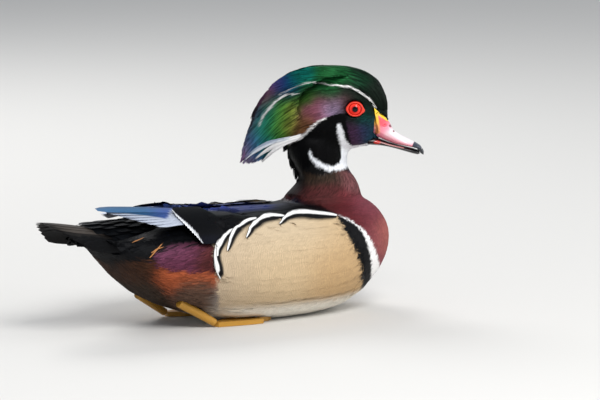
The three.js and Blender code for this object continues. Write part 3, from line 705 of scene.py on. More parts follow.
# Above this height the back's skin is drawn down, so that the feathers on it fit the photograph
BACK_TOP = 84.0
BACK_DRAWN = 0.65
VOXEL = 1.6
SMOOTHINGS = 5
FLESH = ["breast", "torso", "rump", "neck", "head", "flank_right", "flank_left"]
skin_mesh = remeshed(
    "skin",
    [
        node_copy("flesh", FLESH),
        node_copy("wing_pads", ["wing_right", "wing_left"], cut_behind=-66),
    ],
    VOXEL,
    SMOOTHINGS,
)
skin_points, skin_normals = mesh_arrays(skin_mesh)
bill = bmesh.new()
for node in ("bill_upper", "bill_lower"):
    bill.from_mesh(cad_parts[node].data)
bill_tree = BVHTree.FromBMesh(bill)
bill.free()


def off_bill(points):
    """Distance in millimetres from each point to the bill."""
    return np.array([bill_tree.find_nearest(Vector(p * MM))[3] / MM for p in points])


# The feathering's front edge on the bill's side: across for each down, in pixels
BILL_REAR = (
    (100, 372.5), (107.5, 373.6), (118, 375.9), (131, 378.0), (134, 376.6), (137, 374.4), (150, 374),
)


def behind_bill_edge(points, soft=0.9):
    """One behind the bill's rear edge, zero in front of it."""
    u, v = head_pixels(points)
    return ramp(soft, -soft, u - reading(BILL_REAR, v))


FACE_FROM = 8  # how far forward of the eye's middle the bill can be near
near_bill = np.flatnonzero((head_local(skin_points)[0] > FACE_FROM) & (skin_points[:, 2] > 112))
sunk = np.full(len(skin_points), SKIN_DEPTH)
in_front = 1 - behind_bill_edge(skin_points[near_bill])
sunk[near_bill] += 1.6 * ramp(1.8, 0.3, off_bill(skin_points[near_bill])) * in_front
sunk[near_bill] -= 0.8 * (1 - in_front) * ramp(3.0, 0.5, off_bill(skin_points[near_bill]))
skin_points = skin_points - skin_normals * sunk[:, None]
high = np.maximum(skin_points[:, 2] - BACK_TOP, 0.0) * ramp(15, -25, skin_points[:, 0])
skin_points[:, 2] -= BACK_DRAWN * high
move_points(skin_mesh, skin_points)
skin_mesh.shade_smooth()
skin = new_object("skin", skin_mesh)
skin_mesh.materials.clear()
skin_mesh.materials.append(SKIN_COAT)
# The skin is painted as the coat's colours darkened, as painted shade in the gaps between the feathers.
set_colours(skin, coat_colour(skin_points) * 0.6)
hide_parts("breast", "torso", "rump", "neck", "head")
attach(skin, BODY)

skin_faces = [tuple(face.vertices) for face in skin_mesh.polygons]
skin_tree = BVHTree.FromPolygons([tuple(p) for p in skin_points], skin_faces)


def to_skin(points):
    """The nearest skin points and their outward normals."""
    found = [skin_tree.find_nearest(Vector(p))[:2] for p in points]
    return np.array([f[0] for f in found]), np.array([f[1] for f in found])


SIGHT_LENGTH = 600.0


def sight_start(u, v):
    """A point in front of the model on the line of sight through a pixel."""
    across = VIEW_RIGHT * ((u - ORIGIN_PIXEL[0]) * PIXEL)
    up = VIEW_UP * ((ORIGIN_PIXEL[1] - v) * PIXEL)
    return across + up + VIEW_BACK * SIGHT_LENGTH


def near_side(u, v):
    """The skin point that the photograph shows at a pixel, and its normal."""
    start = sight_start(u, v)
    hit, normal, _, _ = skin_tree.ray_cast(Vector(start), Vector(-VIEW_BACK))
    if hit is None:
        hit, normal, _, _ = skin_tree.find_nearest(Vector(start - VIEW_BACK * (SIGHT_LENGTH - 40)))
    return np.array(hit), np.array(normal)


# Which way the coat lies
CREST_ROOTS = [(4, 24), (-10, 26), (-22, 25), (-34, 20), (-42, 10), (-44, -1), (-38, -10), (-29, -12)]
CREST_TIPS = [
    (-34, 30), (-46, 27), (-55, 23), (-63, 17), (-69.5, 8.5), (-75, -1), (-79, -11), (-83, -22),
    (-86, -33), (-87, -43), (-78, -42.5), (-71, -40.5), (-63, -35), (-56, -30.5),
]


def resampled(points, count):
    points = np.array(points, float)
    steps = np.r_[0, np.cumsum(np.linalg.norm(np.diff(points, axis=0), axis=1))]
    at = np.linspace(0, steps[-1], count)
    return np.stack([np.interp(at, steps, points[:, i]) for i in range(points.shape[1])], 1)


def flow_samples():
    """Points and directions of the crest's lie in the head's side view."""
    lines = 14
    roots = resampled(CREST_ROOTS, lines)
    tips = resampled(CREST_TIPS, lines)
    where, ways = [], []
    for i, (root, tip) in enumerate(zip(roots, tips)):
        bow = np.array((-0.1, 1.0)) * mix(4.0, 9.0, i / (lines - 1))
        bend = (root + tip) / 2 + bow
        for t in np.linspace(0, 1, 7):
            where.append(bent(root, bend, tip, t))
            ways.append(2 * (1 - t) * (bend - root) + 2 * t * (tip - bend))
    face = [((20, 12), (-0.7, 0.9)), ((12, 18), (-0.8, 0.6)), ((22, 0), (-1, 0.1)),
            ((10, -8), (-1, -0.1)), ((15, -22), (-1, -0.3)),
            ((0, -15), (-1, -0.35)), ((-10, -5), (-1, -0.2)),
            ((-15, -20), (-1, -0.6)), ((-25, -30), (-0.7, -1)), ((-10, -38), (-0.5, -1)),
            ((0, 10), (-1, 0.15)), ((-25, 5), (-1, 0)), ((-30, -10), (-1, -0.45))]
    where += [np.array(a, float) for a, _ in face]
    ways += [np.array(b, float) for _, b in face]
    return np.array(where), unit(np.array(ways))


FLOW_WHERE, FLOW_WAYS = flow_samples()


def lie(points):
    """The way that feathers point, before it is laid on the skin."""
    forward, up, _ = head_local(points)
    gap = (forward[:, None] - FLOW_WHERE[:, 0]) ** 2 + (up[:, None] - FLOW_WHERE[:, 1]) ** 2
    near = 1 / (gap + 9) ** 2
    way = (near @ FLOW_WAYS) / near.sum(1, keepdims=True)
    head = way[:, :1] * FORWARD + way[:, 1:] * UPWARD
    neck = FORWARD * -0.25 + UPWARD * -1.0
    x, _, z = points.T
    fall = 0.12 + 1.1 * ramp(80, 118, x) + 0.35 * ramp(75, 60, z) * ramp(-100, -40, x)
    body = np.stack((-np.ones_like(x), np.zeros_like(x), -fall * ramp(5, 20, z)), 1)
    toward_neck = ramp(84, 98, z)[:, None]
    toward_head = ramp(112, 128, z)[:, None]
    return unit(mix(mix(body, neck, toward_neck), head, toward_head))


def laid(points, normals):
    way = lie(points)
    return unit(way - normals * (way * normals).sum(1, keepdims=True))


def spaced(points, size):
    """Indices that keep one point in each cube of a grid."""
    cells = np.floor(points / size).astype(int)
    order = random.permutation(len(points))
    _, first = np.unique(cells[order], axis=0, return_index=True)
    return order[first]


face_index = np.array(skin_faces)
face_middles = skin_points[face_index].mean(1)
face_normals = unit(skin_normals[face_index].mean(1))
SITES = np.concatenate((skin_points, face_middles))
SITE_NORMALS = np.concatenate((skin_normals, face_normals))


def coat(name, chosen, space, length, width, material, slot, rows=4, shape="round", lift=0.1,
         rise=0.25, jitter=0.1, wander=0.5, crown=0.16, vary=0.14, shade=0.72, paint=coat_colour):
    """A coat over the chosen sites. length and width are numbers or functions of the roots."""
    sites = np.flatnonzero(chosen)
    sites = sites[spaced(SITES[sites], space)]
    roots, normals = SITES[sites], SITE_NORMALS[sites]
    count = len(roots)
    lengths = length(roots) if callable(length) else np.full(count, float(length))
    widths = width(roots) if callable(width) else np.full(count, float(width))
    lengths = lengths * random.uniform(0.85, 1.15, count)
    step = (lengths / (rows - 1))[:, None]
    spine = np.empty((count, rows, 3))
    side = np.empty((count, rows, 3))
    here, up = roots, normals
    turn = random.normal(0, jitter, count)[:, None]
    for row in range(rows):
        way = laid(here, up)
        across = np.cross(up, way)
        way = unit(way + across * turn)
        side[:, row] = unit(np.cross(way, up))
        t = row / (rows - 1)
        height = (rise + lift * lengths * t * (0.6 + 0.4 * t))[:, None]
        spine[:, row] = here + up * height
        if row < rows - 1:
            here, up = to_skin(here + way * step)
    shift = random.normal(0, wander, (count, 3))[:, None, None]

    tone = random.uniform(1 - vary, 1 + vary, (count, 1, 1, 1))

    def painted(points, place, along):
        # painted shade: each feather is darker toward its root and along its side edges, where the
        # feathers over it shade it
        depth = mix(shade, 1.06, along) * (1 - (1 - shade) * 0.4 * place**2)
        colour = paint(points + shift)
        pale = ramp(0.4, 0.8, colour.min(-1, keepdims=True)) * 0.8
        return colour * mix(tone * depth[..., None], 1.0, pale)

    return sheets(name, spine, side, widths, material, painted, shape, 3, crown)


SITE_U, SITE_V = body_pixels(SITES)
HEAD_U, HEAD_V = head_pixels(SITES)
site_x, site_y, site_z = SITES.T
site_h, site_k, site_l = head_local(SITES)
HEAD_FROM = 112  # the head's coat begins at this height and the neck's at the next
NECK_FROM = 88
CREST_REAR = -22  # behind this the head's coat is crest
CREST_TOP = 17
BREAST_REAR = ((205, 329), (217, 340), (231, 356), (247, 367), (300, 372))  # down and across, in pixels
in_head = site_z > HEAD_FROM
clear = np.ones(len(SITES), bool)
near_bill = np.flatnonzero((site_h > FACE_FROM) & in_head)
clear[near_bill] = (off_bill(SITES[near_bill]) > 0.5) | (behind_bill_edge(SITES[near_bill]) > 0.6)
clear &= (np.hypot(site_h, site_k) > 6.2) | (np.abs(site_l) < 11) | ~in_head
in_neck = (site_z > NECK_FROM) & ~in_head & (site_x > 40)
crest_low = -16 - (site_h - CREST_REAR) * 0.1
in_crest = in_head & ((site_h < CREST_REAR) | (site_k > CREST_TOP)) & (site_k > -46)
in_crest &= (site_k > crest_low) | (site_h < -36)
in_face = in_head & ~in_crest
trunk = ~in_head & ~in_neck
in_flank = trunk & (inside(SITE_U, SITE_V, FLANK) > 0) & (site_z > 14)
in_breast = trunk & ~in_flank & (site_x > 40) & (site_z > 10) & (SITE_U > reading(BREAST_REAR, SITE_V))
in_rump = trunk & ~in_flank & (site_x < -20) & (site_z < 68) & (site_z > 8)
in_belly = trunk & ~in_flank & ~in_breast & ~in_rump & (site_z < 25)
in_back = trunk & ~in_flank & ~in_breast & ~in_rump & ~in_belly


def face_size(roots):
    """Short feathers round the bill, longer ones toward the nape."""
    return mix(2.6, 5.0, ramp(14, -12, head_local(roots)[0]))


coat("feathers_face", in_face & clear, 1.0, face_size, lambda r: face_size(r) * 0.34, GLOSS_COAT,
     "green_feathers", shape="hair", lift=0.07, rise=0.1, jitter=0.14, wander=0.15, vary=0.4)
in_crown = in_head & (site_k > 15) & (site_h > -34)
coat("feathers_crown", in_crown, 1.3, lambda r: mix(11.0, 5.0, ramp(5, 22, head_local(r)[0])), 1.8,
     GLOSS_COAT, "green_feathers", rows=6, shape="hair", lift=0.1, rise=0.7, jitter=0.07, wander=0.3,
     vary=0.4)
coat("feathers_neck", in_neck, 1.5, 7.0, 2.2, SOFT_COAT, "breast_feathers", shape="hair", lift=0.06,
     wander=0.25, vary=0.4)
coat("feathers_breast", in_breast, 2.0, 7.0, 4.6, SOFT_COAT, "breast_feathers", lift=0.04, wander=0.2)
coat("feathers_flank", in_flank, 2.5, 10.0, 6.5, FLANK_COAT, "flank_feathers", lift=0.015, wander=0.3,
     crown=0.05, vary=0.05, shade=0.93)
coat("feathers_belly", in_belly, 3.0, 10.0, 7.0, SOFT_COAT, "belly_feathers", lift=0.05)
coat("feathers_rump", in_rump, 2.1, 12.0, 2.4, SOFT_COAT, "rump_feathers", rows=5, shape="hair",
     lift=0.05, jitter=0.12, wander=1.2, vary=0.35)
coat("feathers_back", in_back, 3.0, 12.0, 8.0, WING_COAT, "black_feathers", lift=0.01, rise=0.1,
     vary=0.25, crown=0.04)


def crest_size(roots):
    return mix(9.0, 17.0, ramp(-10, -50, head_local(roots)[0]))


under_crest = coat("crest_under", in_crest, 1.5, crest_size, 2.4, GLOSS_COAT, "green_feathers", rows=6,
                   shape="hair", lift=0.04, rise=0.2, jitter=0.06, wander=0.3, vary=0.25)
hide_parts("crest")

# Half of the crest's width for each place forward
CREST_HALF = ((-88, 2), (-75, 7.5), (-62, 12.5), (-50, 16.5), (-40, 19.5), (-28, 21), (-15, 21), (15, 8))
SKULL_STEP = 2.0
SKULL_AT = np.arange(-52.0, 4.0, SKULL_STEP), np.arange(-18.0, 34.0, SKULL_STEP)
SKULL_START = 45.0  # how far out the search for the skull begins


def skull_reach():
    """How far out the skin lies beside the head's middle, on a grid of places; 0 where there is none."""
    reach = np.zeros((len(SKULL_AT[0]), len(SKULL_AT[1])))
    for i, forward in enumerate(SKULL_AT[0]):
        for j, up in enumerate(SKULL_AT[1]):
            start = Vector(head_point(forward, up, SKULL_START))
            hit = skin_tree.ray_cast(start, Vector(-OUTWARD), SKULL_START)[0]
            if hit is not None:
                reach[i, j] = head_local(np.array(hit))[2]
    return reach


SKULL_REACH = skull_reach()


def skull_out(forward, up):
    """SKULL_REACH between its places."""
    steps = []
    for value, stations in ((forward, SKULL_AT[0]), (up, SKULL_AT[1])):
        place = np.clip((value - stations[0]) / SKULL_STEP, 0, len(stations) - 1.001)
        steps.append((place.astype(int), place % 1))
    (i, a), (j, b) = steps
    low = mix(SKULL_REACH[i, j], SKULL_REACH[i, j + 1], b)
    high = mix(SKULL_REACH[i + 1, j], SKULL_REACH[i + 1, j + 1], b)
    return mix(low, high, a)


CORE_DEPTH = 0.6  # the core's share of the crest's thickness
LOCK_ROWS = 8
CREST_STATIONS = 60
ROOT_LINE = resampled(CREST_ROOTS, CREST_STATIONS)
TIP_LINE = resampled(CREST_TIPS, CREST_STATIONS)


def crest_line(lane, at):
    """Places forward and up in the crest: lane runs from its top line to its lower edge."""
    stations = np.linspace(0, 1, CREST_STATIONS)
    root = np.stack([np.interp(lane, stations, ROOT_LINE[:, i]) for i in range(2)], -1)
    tip = np.stack([np.interp(lane, stations, TIP_LINE[:, i]) for i in range(2)], -1)
    bow = mix(4.0, 9.0, lane)[..., None] * np.array((-0.1, 1.0))
    bend = (root + tip) / 2 + bow
    return bent(root, bend, tip, at[..., None])


def closing(at):
    """The crest's share of its thickness, which falls to a little at the tips."""
    return np.sqrt(np.clip(1 - at**3, 0.02, 1))


def crest_bulge(lane):
    """The crest's share of its thickness from its top line to its lower edge."""
    return np.sqrt(1 - (1 - np.minimum(lane / 0.3, 1)) ** 2) * (1 - 0.35 * ramp(0.78, 1.0, lane))


def crest_out(flat, lane, at, depth):
    """Half of the crest's thickness, which closes toward the tips and follows the skull at the roots."""
    half = reading(CREST_HALF, flat[..., 0])
    skull = skull_out(flat[..., 0], flat[..., 1])
    on_skull = ramp(-50, -36, flat[..., 0]) * ramp(4, 9, skull)
    return mix(half * crest_bulge(lane) * depth * closing(at), skull + 0.9 * depth, on_skull)


def lock_paint(count, wander, vary, dark, depth):
    """The head's colours for a set of locks, of which a share is dark, with painted shade toward each
    lock's root. White stays plain.
    """
    shift = random.normal(0, wander, (count, 3))[:, None, None]
    tone = random.uniform(1 - vary, 1 + vary, (count, 1, 1, 1))
    tone = np.where(random.uniform(0, 1, (count, 1, 1, 1)) < dark, tone * depth, tone)

    def painted(points, place, along):
        colour = head_colour(points + shift)
        pale = ramp(0.3, 0.7, colour.min(-1, keepdims=True))
        # painted shade: darker toward the root, where the locks over it shade it
        return colour * mix(tone * mix(0.7, 1.1, along)[..., None], 1.0, pale)

    return painted


def crest_locks(name, count, reach, width, depth, vary, dark=0.16):
    """Long locks over both sides of the crest, each on a part of a line from crown to tip."""
    share = random.uniform(0, 1, count)
    side = random.choice((-1.0, 1.0), count)
    start = random.uniform(0.0, 1.02 - reach * 0.55, count)
    end = np.minimum(start + reach * random.uniform(0.8, 1.2, count), random.uniform(0.94, 1.04, count))
    t = np.linspace(0, 1, LOCK_ROWS)
    drift = random.normal(0, 0.012, count)
    lane = np.clip(share[:, None] + drift[:, None] * t, 0, 1)
    at = start[:, None] + (end - start)[:, None] * t
    flat = crest_line(lane, at)
    above = unit(crest_line(np.clip(lane - 0.02, 0, 1), at) - crest_line(np.clip(lane + 0.02, 0, 1), at))
    bulge = crest_bulge(lane)
    out = side[:, None] * crest_out(flat, lane, at, depth)
    spine = head_point(flat[..., 0], flat[..., 1], out)
    facing = above[..., :1] * FORWARD + above[..., 1:] * UPWARD
    facing = facing * (1.15 - bulge)[..., None] + OUTWARD * (side[:, None] * (0.2 + bulge))[..., None]
    spine = spine + unit(facing) * (random.uniform(-0.4, 0.5, count)[:, None] + 0.5 * t)[..., None]
    tangent = unit(np.gradient(spine, axis=1))
    across = unit(np.cross(tangent, facing))
    widths = width * random.uniform(0.7, 1.3, count)
    painted = lock_paint(count, 0.45, vary, dark, 0.4)
    return sheets(name, spine, across, widths, GLOSS_COAT, painted, "hair", 3, 0.3)


def make_crest_core():
    """A closed form inside the crest, painted dark as the shade between its locks, so that nothing shows
    through between them.
    """
    half, rows = 21, 24
    lanes = np.concatenate((np.linspace(1, 0, half), np.linspace(0, 1, half)[1:]))[:, None]
    sides = np.concatenate((np.ones(half), -np.ones(half - 1)))[:, None]
    at = np.broadcast_to(np.linspace(0, 0.97, rows), (len(lanes), rows))
    flat = crest_line(np.broadcast_to(lanes, at.shape), at)
    points = head_point(flat[..., 0], flat[..., 1], sides * crest_out(flat, lanes, at, CORE_DEPTH))
    index = np.arange(at.size).reshape(at.shape)
    quads = grid_quads(np.pad(index, ((0, 1), (0, 0)), "wrap").T)
    obj = mesh_object("crest_core", points.reshape(-1, 3), quads, SKIN_COAT)
    # painted shade: the head's colours darkened inside the crest
    set_colours(obj, head_colour(points) * 0.4)
    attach(obj, BODY)


make_crest_core()
crest_locks("crest_inner", 900, 0.7, 4.2, 0.55, 0.3)
crest_locks("crest_middle", 1400, 0.55, 3.0, 0.82, 0.3)
crest_locks("crest_outer", 3400, 0.42, 1.7, 1.0, 0.35)
crest_locks("crest_fine", 3400, 0.28, 0.9, 1.03, 0.5, 0.3)

# The crown between its top line and the white brow: root, bend and tip of each line
CROWN_TOP = np.array(((24.6, -0.5), (23.5, 38), (-38, 29.6)), float)
CROWN_LOW = np.array(((15.5, 1), (-4, 25.5), (-46, 15.5)), float)


def crown_width():
    """Half of the head's width along the crown's lower line, for each place forward."""
    rows = []
    for t in np.linspace(0, 1, 12):
        spot = bent(*CROWN_LOW, t)
        start = head_point(spot[0], spot[1], 40.0)
        hit = skin_tree.ray_cast(Vector(start), Vector(-OUTWARD))[0]
        fallback = reading(CREST_HALF, spot[0])
        width = fallback if hit is None else head_local(np.array(hit))[2] + 0.7
        rows.append((spot[0], width))
    return sorted(rows)


CROWN_HALF = crown_width()


def crown_locks(name, count, reach, width, sink, vary):
    side = random.choice((-1.0, 1.0), count)
    lane = random.uniform(0, 1, count)[:, None]
    start = random.uniform(-0.02, 1.0 - reach * 1.2, count)[:, None]
    t = np.linspace(0, 1, LOCK_ROWS)
    at = (start + reach * random.uniform(0.7, 1.3, (count, 1)) * t)[..., None]
    drift = random.normal(0, 0.02, (count, 1)) * t
    turn = np.clip(lane + drift, 0, 1.03) * np.pi / 2
    root, bend, tip = (
        mix(CROWN_LOW[i], CROWN_TOP[i], np.cos(turn)[..., None]) for i in range(3)
    )
    flat = bent(root, bend, tip, at)
    half = reading(CROWN_HALF, flat[..., 0])
    lift = 0.9 * t + random.uniform(-0.5, 0.3, (count, 1)) - sink
    facing = UPWARD * np.cos(turn)[..., None] + OUTWARD * (side[:, None] * np.sin(turn))[..., None]
    spine = head_point(flat[..., 0], flat[..., 1], side[:, None] * half * np.sin(turn))
    spine = spine + facing * lift[..., None]
    across = unit(np.cross(unit(np.gradient(spine, axis=1)), facing))
    widths = width * random.uniform(0.7, 1.3, count)
    painted = lock_paint(count, 0.3, vary, 0.25, 0.35)
    return sheets(name, spine, across, widths, GLOSS_COAT, painted, "hair", 3, 0.3)


crown_locks("crown_inner", 900, 0.4, 3.0, 1.2, 0.3)
crown_locks("crown_outer", 2600, 0.26, 1.1, 0.2, 0.5)

# Strands along lines in pixels: line, count, scatter in pixels, half-width share, colour
TUFT_STRANDS = [
    ([(302, 135.5), (286, 140), (272, 146), (262, 152.5), (254, 159.3)], 90, 0.9, 0.98, "f4f2f0"),
    ([(298, 138), (284, 143.5), (273, 150.5), (266, 157), (261.3, 162)], 80, 0.8, 0.94, "f4f2f0"),
    ([(292, 137.5), (274, 141.3), (262, 146.8), (252, 153), (244.3, 159.7)], 50, 0.7, 1.0, "d6dbe2"),
    ([(286, 138.8), (268, 142.5), (256, 148.5), (246, 156)], 20, 0.6, 1.0, "a4b2c4"),
]
STRAY_STRANDS = [
    ([(276, 87), (267, 92.5), (260, 99)], 16, 1.3, 0.25, "4c3248"),
    ([(268, 93), (261, 101), (255, 109.5)], 18, 1.3, 0.25, "3a2436"),
    ([(262, 102), (256, 110), (250, 119)], 18, 1.3, 0.2, "141018"),
    ([(259, 112), (254, 121), (248, 131)], 16, 1.2, 0.2, "1a141e"),
    ([(255, 122), (250.5, 132), (246.5, 143)], 14, 1.2, 0.2, "2c2440"),
    ([(252, 134), (247, 144), (241.5, 155)], 14, 1.2, 0.2, "4a3a58"),
    ([(250, 143), (245, 152), (239.5, 163)], 12, 1.0, 0.2, "6a5070"),
    ([(294, 138), (287, 145), (283, 152)], 60, 2.2, 0.2, "060607"),
    ([(292, 141), (290, 152), (289, 160)], 60, 2.2, 0.2, "060607"),
    ([(295, 150), (292.5, 162), (292, 170)], 60, 2.2, 0.15, "060607"),
    ([(298, 162), (296, 172), (295.5, 180)], 50, 2.0, 0.15, "060607"),
    ([(301, 174), (299, 182), (297.5, 189)], 40, 2.0, 0.15, "0a0808"),
]


STRAND_STATIONS = 40


def strands(name, lines, width):
    """Single strands on both sides of the head, close to lines in the photograph."""
    t = np.linspace(0, 1, LOCK_ROWS)
    spines, acrosses, codes = [], [], []
    for line, count, scatter, share, code in lines:
        path = resampled(line, STRAND_STATIONS)
        way = unit(np.gradient(path, axis=0))
        stations = np.linspace(0, 1, STRAND_STATIONS)
        begin = random.uniform(0, 0.4, (count, 1))
        end = random.uniform(0.8, 1.02, (count, 1))
        at = begin + (end - begin) * t
        u, v, du, dv = (np.interp(at, stations, axis) for axis in (*path.T, *way.T))
        off = random.normal(0, scatter, (count, 1)) * (1 - 0.6 * at)
        forward = (u - dv * off - EYE_PIXEL[0]) * PIXEL
        side = random.choice((-1.0, 1.0), (count, 1))
        out = reading(CREST_HALF, forward) * share * closing(at) + random.uniform(0.7, 1.6, (count, 1))
        down = v + du * off
        up = ((EYE_PIXEL[1] - down) * PIXEL + VIEW_BACK[2] * out) / VIEW_UP[2]
        spine = head_point(forward, up, out * side)
        tangent = unit(np.gradient(spine, axis=1))
        spines.append(spine)
        acrosses.append(unit(np.cross(tangent, OUTWARD * side[..., None])))
        codes += [rgb(code)] * count
    codes = np.array(codes)[:, None, None]
    tone = random.uniform(0.85, 1.05, (len(codes), 1, 1, 1))

    def painted(points, place, along):
        return np.broadcast_to(codes * tone, points.shape)

    widths = width * random.uniform(0.7, 1.3, len(codes))
    return sheets(name, np.concatenate(spines), np.concatenate(acrosses), widths, SOFT_COAT,
                  painted, "hair", 3, 0.3)


strands("white_tuft", TUFT_STRANDS, 1.5)
strands("stray_strands", STRAY_STRANDS, 0.9)


# Larger feathers, each from a root to a tip with a bow, facing a given way
HUG_HEIGHT = (8.0, 5.0)  # feathers that stand off the skin by less than this are drawn to it
HUG_FROM = (-64, -52)  # but only in front of the wing's free end
LAYER_STEP = 0.035


def hugging(points):
    """Brings feathers that stand off the body down to a thin layer over the skin."""
    flat = points.reshape(-1, 3)
    near, up = to_skin(flat)
    height = ((flat - near) * up).sum(1).reshape(points.shape[:3])
    layer = np.arange(points.shape[0])[:, None, None] * LAYER_STEP
    along = np.linspace(0, 1, points.shape[1])[None, :, None]
    wanted = np.clip(height, 0.9 + layer, 1.0 + layer + 0.2 * along)
    share = ramp(*HUG_HEIGHT, height) * ramp(*HUG_FROM, points[..., 0])
    moved = near + up * mix(height, wanted, share).reshape(-1, 1)
    return mix(points, moved.reshape(points.shape), share[..., None])


def vanes(name, specs, width, material, colour, rows=10, columns=7, shape="long", crown=0.1,
          fit=None):
    """specs holds rows of (root, tip, bow, face)."""
    root, tip, bow, face = (np.array([spec[i] for spec in specs], float) for i in range(4))
    bend = (root + tip) / 2 + bow
    t = np.linspace(0, 1, rows)[None, :, None]
    spine = bent(root[:, None], bend[:, None], tip[:, None], t)
    tangent = unit(np.gradient(spine, axis=1))
    side = unit(np.cross(tangent, np.broadcast_to(face[:, None], tangent.shape)))
    widths = np.broadcast_to(np.asarray(width, float), (len(specs),))
    return sheets(name, spine, side, widths, material, colour, shape, columns, crown, fit)


FLIP = np.array((1.0, -1.0, 1.0))


def twins(specs):
    return [tuple(np.array(part) * FLIP for part in spec) for spec in specs]


def on_pad(x, side_angle, lift):
    """A point over the right wing's side at x, where an angle of 0 looks right and 90 looks up."""
    start = vec(x, 0, 49)
    way = vec(0, -math.cos(side_angle), math.sin(side_angle))
    hit, normal, _, _ = skin_tree.ray_cast(Vector(start + way * 200), Vector(-way))
    return np.array(hit) + np.array(normal) * lift


PRIMARY_TIPS = {
    "right": (vec(-108, -27, 84), vec(-147, -10, 95)),
    "left": (vec(-108, -27, 83), vec(-128, -9, 88)),
}
SECONDARY_TIPS = (vec(-80.5, -50, 73), vec(-88.5, -28.5, 89.5))
TERTIAL_TIPS = (vec(-88, -24, 88.5), vec(-103, -9, 87.5))


def primary_specs(tips, count=7):
    return [
        (on_pad(-50, 0.85 + 0.03 * i, -1.0 + 0.2 * i), mix(*tips, i / (count - 1)),
         vec(0, -3, 2.5), vec(0, 0.07 * i - 0.6, 1))
        for i in range(count)
    ]


def secondary_specs(drop, count=12):
    """The upper feathers' tips are lower by drop."""
    return [
        (on_pad(-44, mix(0.42, 0.98, i / (count - 1)), 0.3 + 0.12 * i),
         mix(*SECONDARY_TIPS, i / (count - 1)) - vec(0, 0, drop * i / (count - 1)), vec(0, -1.5, 1.5),
         vec(0, -1, mix(0.5, 1.4, i / (count - 1))))
        for i in range(count)
    ]


def tertial_specs(count=4):
    return [
        (on_pad(-22 - 6 * i, 0.95 + 0.14 * i, 0.8 + 0.1 * i), mix(*TERTIAL_TIPS, i / (count - 1)),
         vec(0, -2, 0.8), vec(0, 0.13 * i - 0.5, 1))
        for i in range(count)
    ]


def scapular_specs():
    specs = []
    for row, angle in enumerate((0.8, 0.95, 1.1)):
        for i in range(7):
            x = 46 - 14 * i - 5 * row
            specs.append((on_pad(x, angle + 0.05, 0.2), on_pad(x - 34, angle - 0.04, 0.9 + 0.2 * row),
                          vec(0, -0.3, 0.5), vec(0, -0.8, 1)))
    return specs


SILVER_WEB = [
    (98, 212.3), (115, 212.4), (130, 213.1), (150, 215.2), (163, 217.2), (170, 218.5), (174, 209),
    (184, 219), (196, 232), (208, 244), (204, 256), (180, 250), (150, 240), (98, 225),
]
# The front edge of the white stripe on the secondaries: across for each down, in pixels
STRIPE_EDGE = (
    (208, 173.5), (211, 176), (217, 183), (227, 194.3), (233, 200.2), (241.4, 205), (247, 207),
)


def primary_colour(points, place, along):
    """Teal to blue above, with silvery outer webs below."""
    u, v = body_pixels(points)
    base = spread(u, v, BACK_BLUE, 12) * mix(1.15, 0.8, ramp(-0.5, 0.8, place))[..., None]
    web = ramp(-0.8, 0.8, inside(u, v, SILVER_WEB))[..., None]
    return mix(base, rgb("c0c7d6"), web)


def secondary_colour(points, place, along):
    # a faint painted blue sheen toward the tip along one edge, over the black
    base = mix(rgb("08090c"), rgb("0b0d16"), (ramp(0.2, 0.8, along) * ramp(0.6, -0.4, place))[..., None])
    u, v = body_pixels(points)
    white = ramp(0.4, -0.4, u - reading(STRIPE_EDGE, v))
    return mix(base, rgb("eceef2"), white[..., None])


def turned_over(colour):
    """The same colours for the far side, where a feather's edges change places."""
    return lambda points, place, along: colour(points, -place, along)


def dark_colour(code, sheen):
    def painted(points, place, along):
        return mix(rgb(code), rgb(sheen), (ramp(0.2, 0.9, along) * ramp(0.9, -0.3, place))[..., None])

    return painted


def wing_top_colour(points, place, along):
    """The back's own colours, darker toward each root as painted shade under the feathers above and a
    little brighter towards each tip.
    """
    return body_colour(points) * mix(0.75, 1.15, along)[..., None]


SECONDARY_DROP = {"right": 0.0, "left": 4.0}


def make_wing(side_name):
    """The wing's four sets of feathers, the longest first."""
    tips, drop = PRIMARY_TIPS[side_name], SECONDARY_DROP[side_name]
    sets = [
        ("primaries", primary_specs(tips), 15.5, primary_colour, 36, 15, "wing"),
        ("secondaries", secondary_specs(drop), 12, secondary_colour, 40, 11, "blunt"),
        ("tertials", tertial_specs(), 11, wing_top_colour, 30, 11, "long"),
        ("scapulars", scapular_specs(), 15, wing_top_colour, 24, 15, "long"),
    ]
    for kind, specs, width, colour, rows, columns, shape in sets:
        if side_name == "left":
            specs = twins(specs)
            colour = turned_over(colour)
        vanes(f"{kind}_{side_name}", specs, width, WING_COAT, colour,
                          rows=rows, columns=columns, shape=shape, fit=hugging)
    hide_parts(f"wing_{side_name}")


make_wing("right")
make_wing("left")

# The barred feathers along each flank's upper and rear edge: the white bar of each in pixels
FLANK_ARCS = [
    [(336, 217), (327, 216), (318, 215.5), (304, 214), (298, 213.5), (290, 215.5), (284, 219),
     (279, 225)],
    [(284, 217.5), (272, 216.6), (262, 219), (255, 224), (250, 229), (246.5, 238)],
    [(256, 219.5), (245, 222), (238, 227), (233, 233), (229, 243), (228, 250)],
    [(234, 229.5), (225, 235.5), (220, 242.5), (217.8, 250), (218.5, 256)],
    [(219, 243), (216.2, 249), (215.6, 255), (216.5, 261), (219, 268), (222, 276)],
]
ARC_DEEP = 15.0  # how far each barred feather reaches in under the ones before it, in pixels
ARC_STEPS = 22
ARC_ROWS = 14


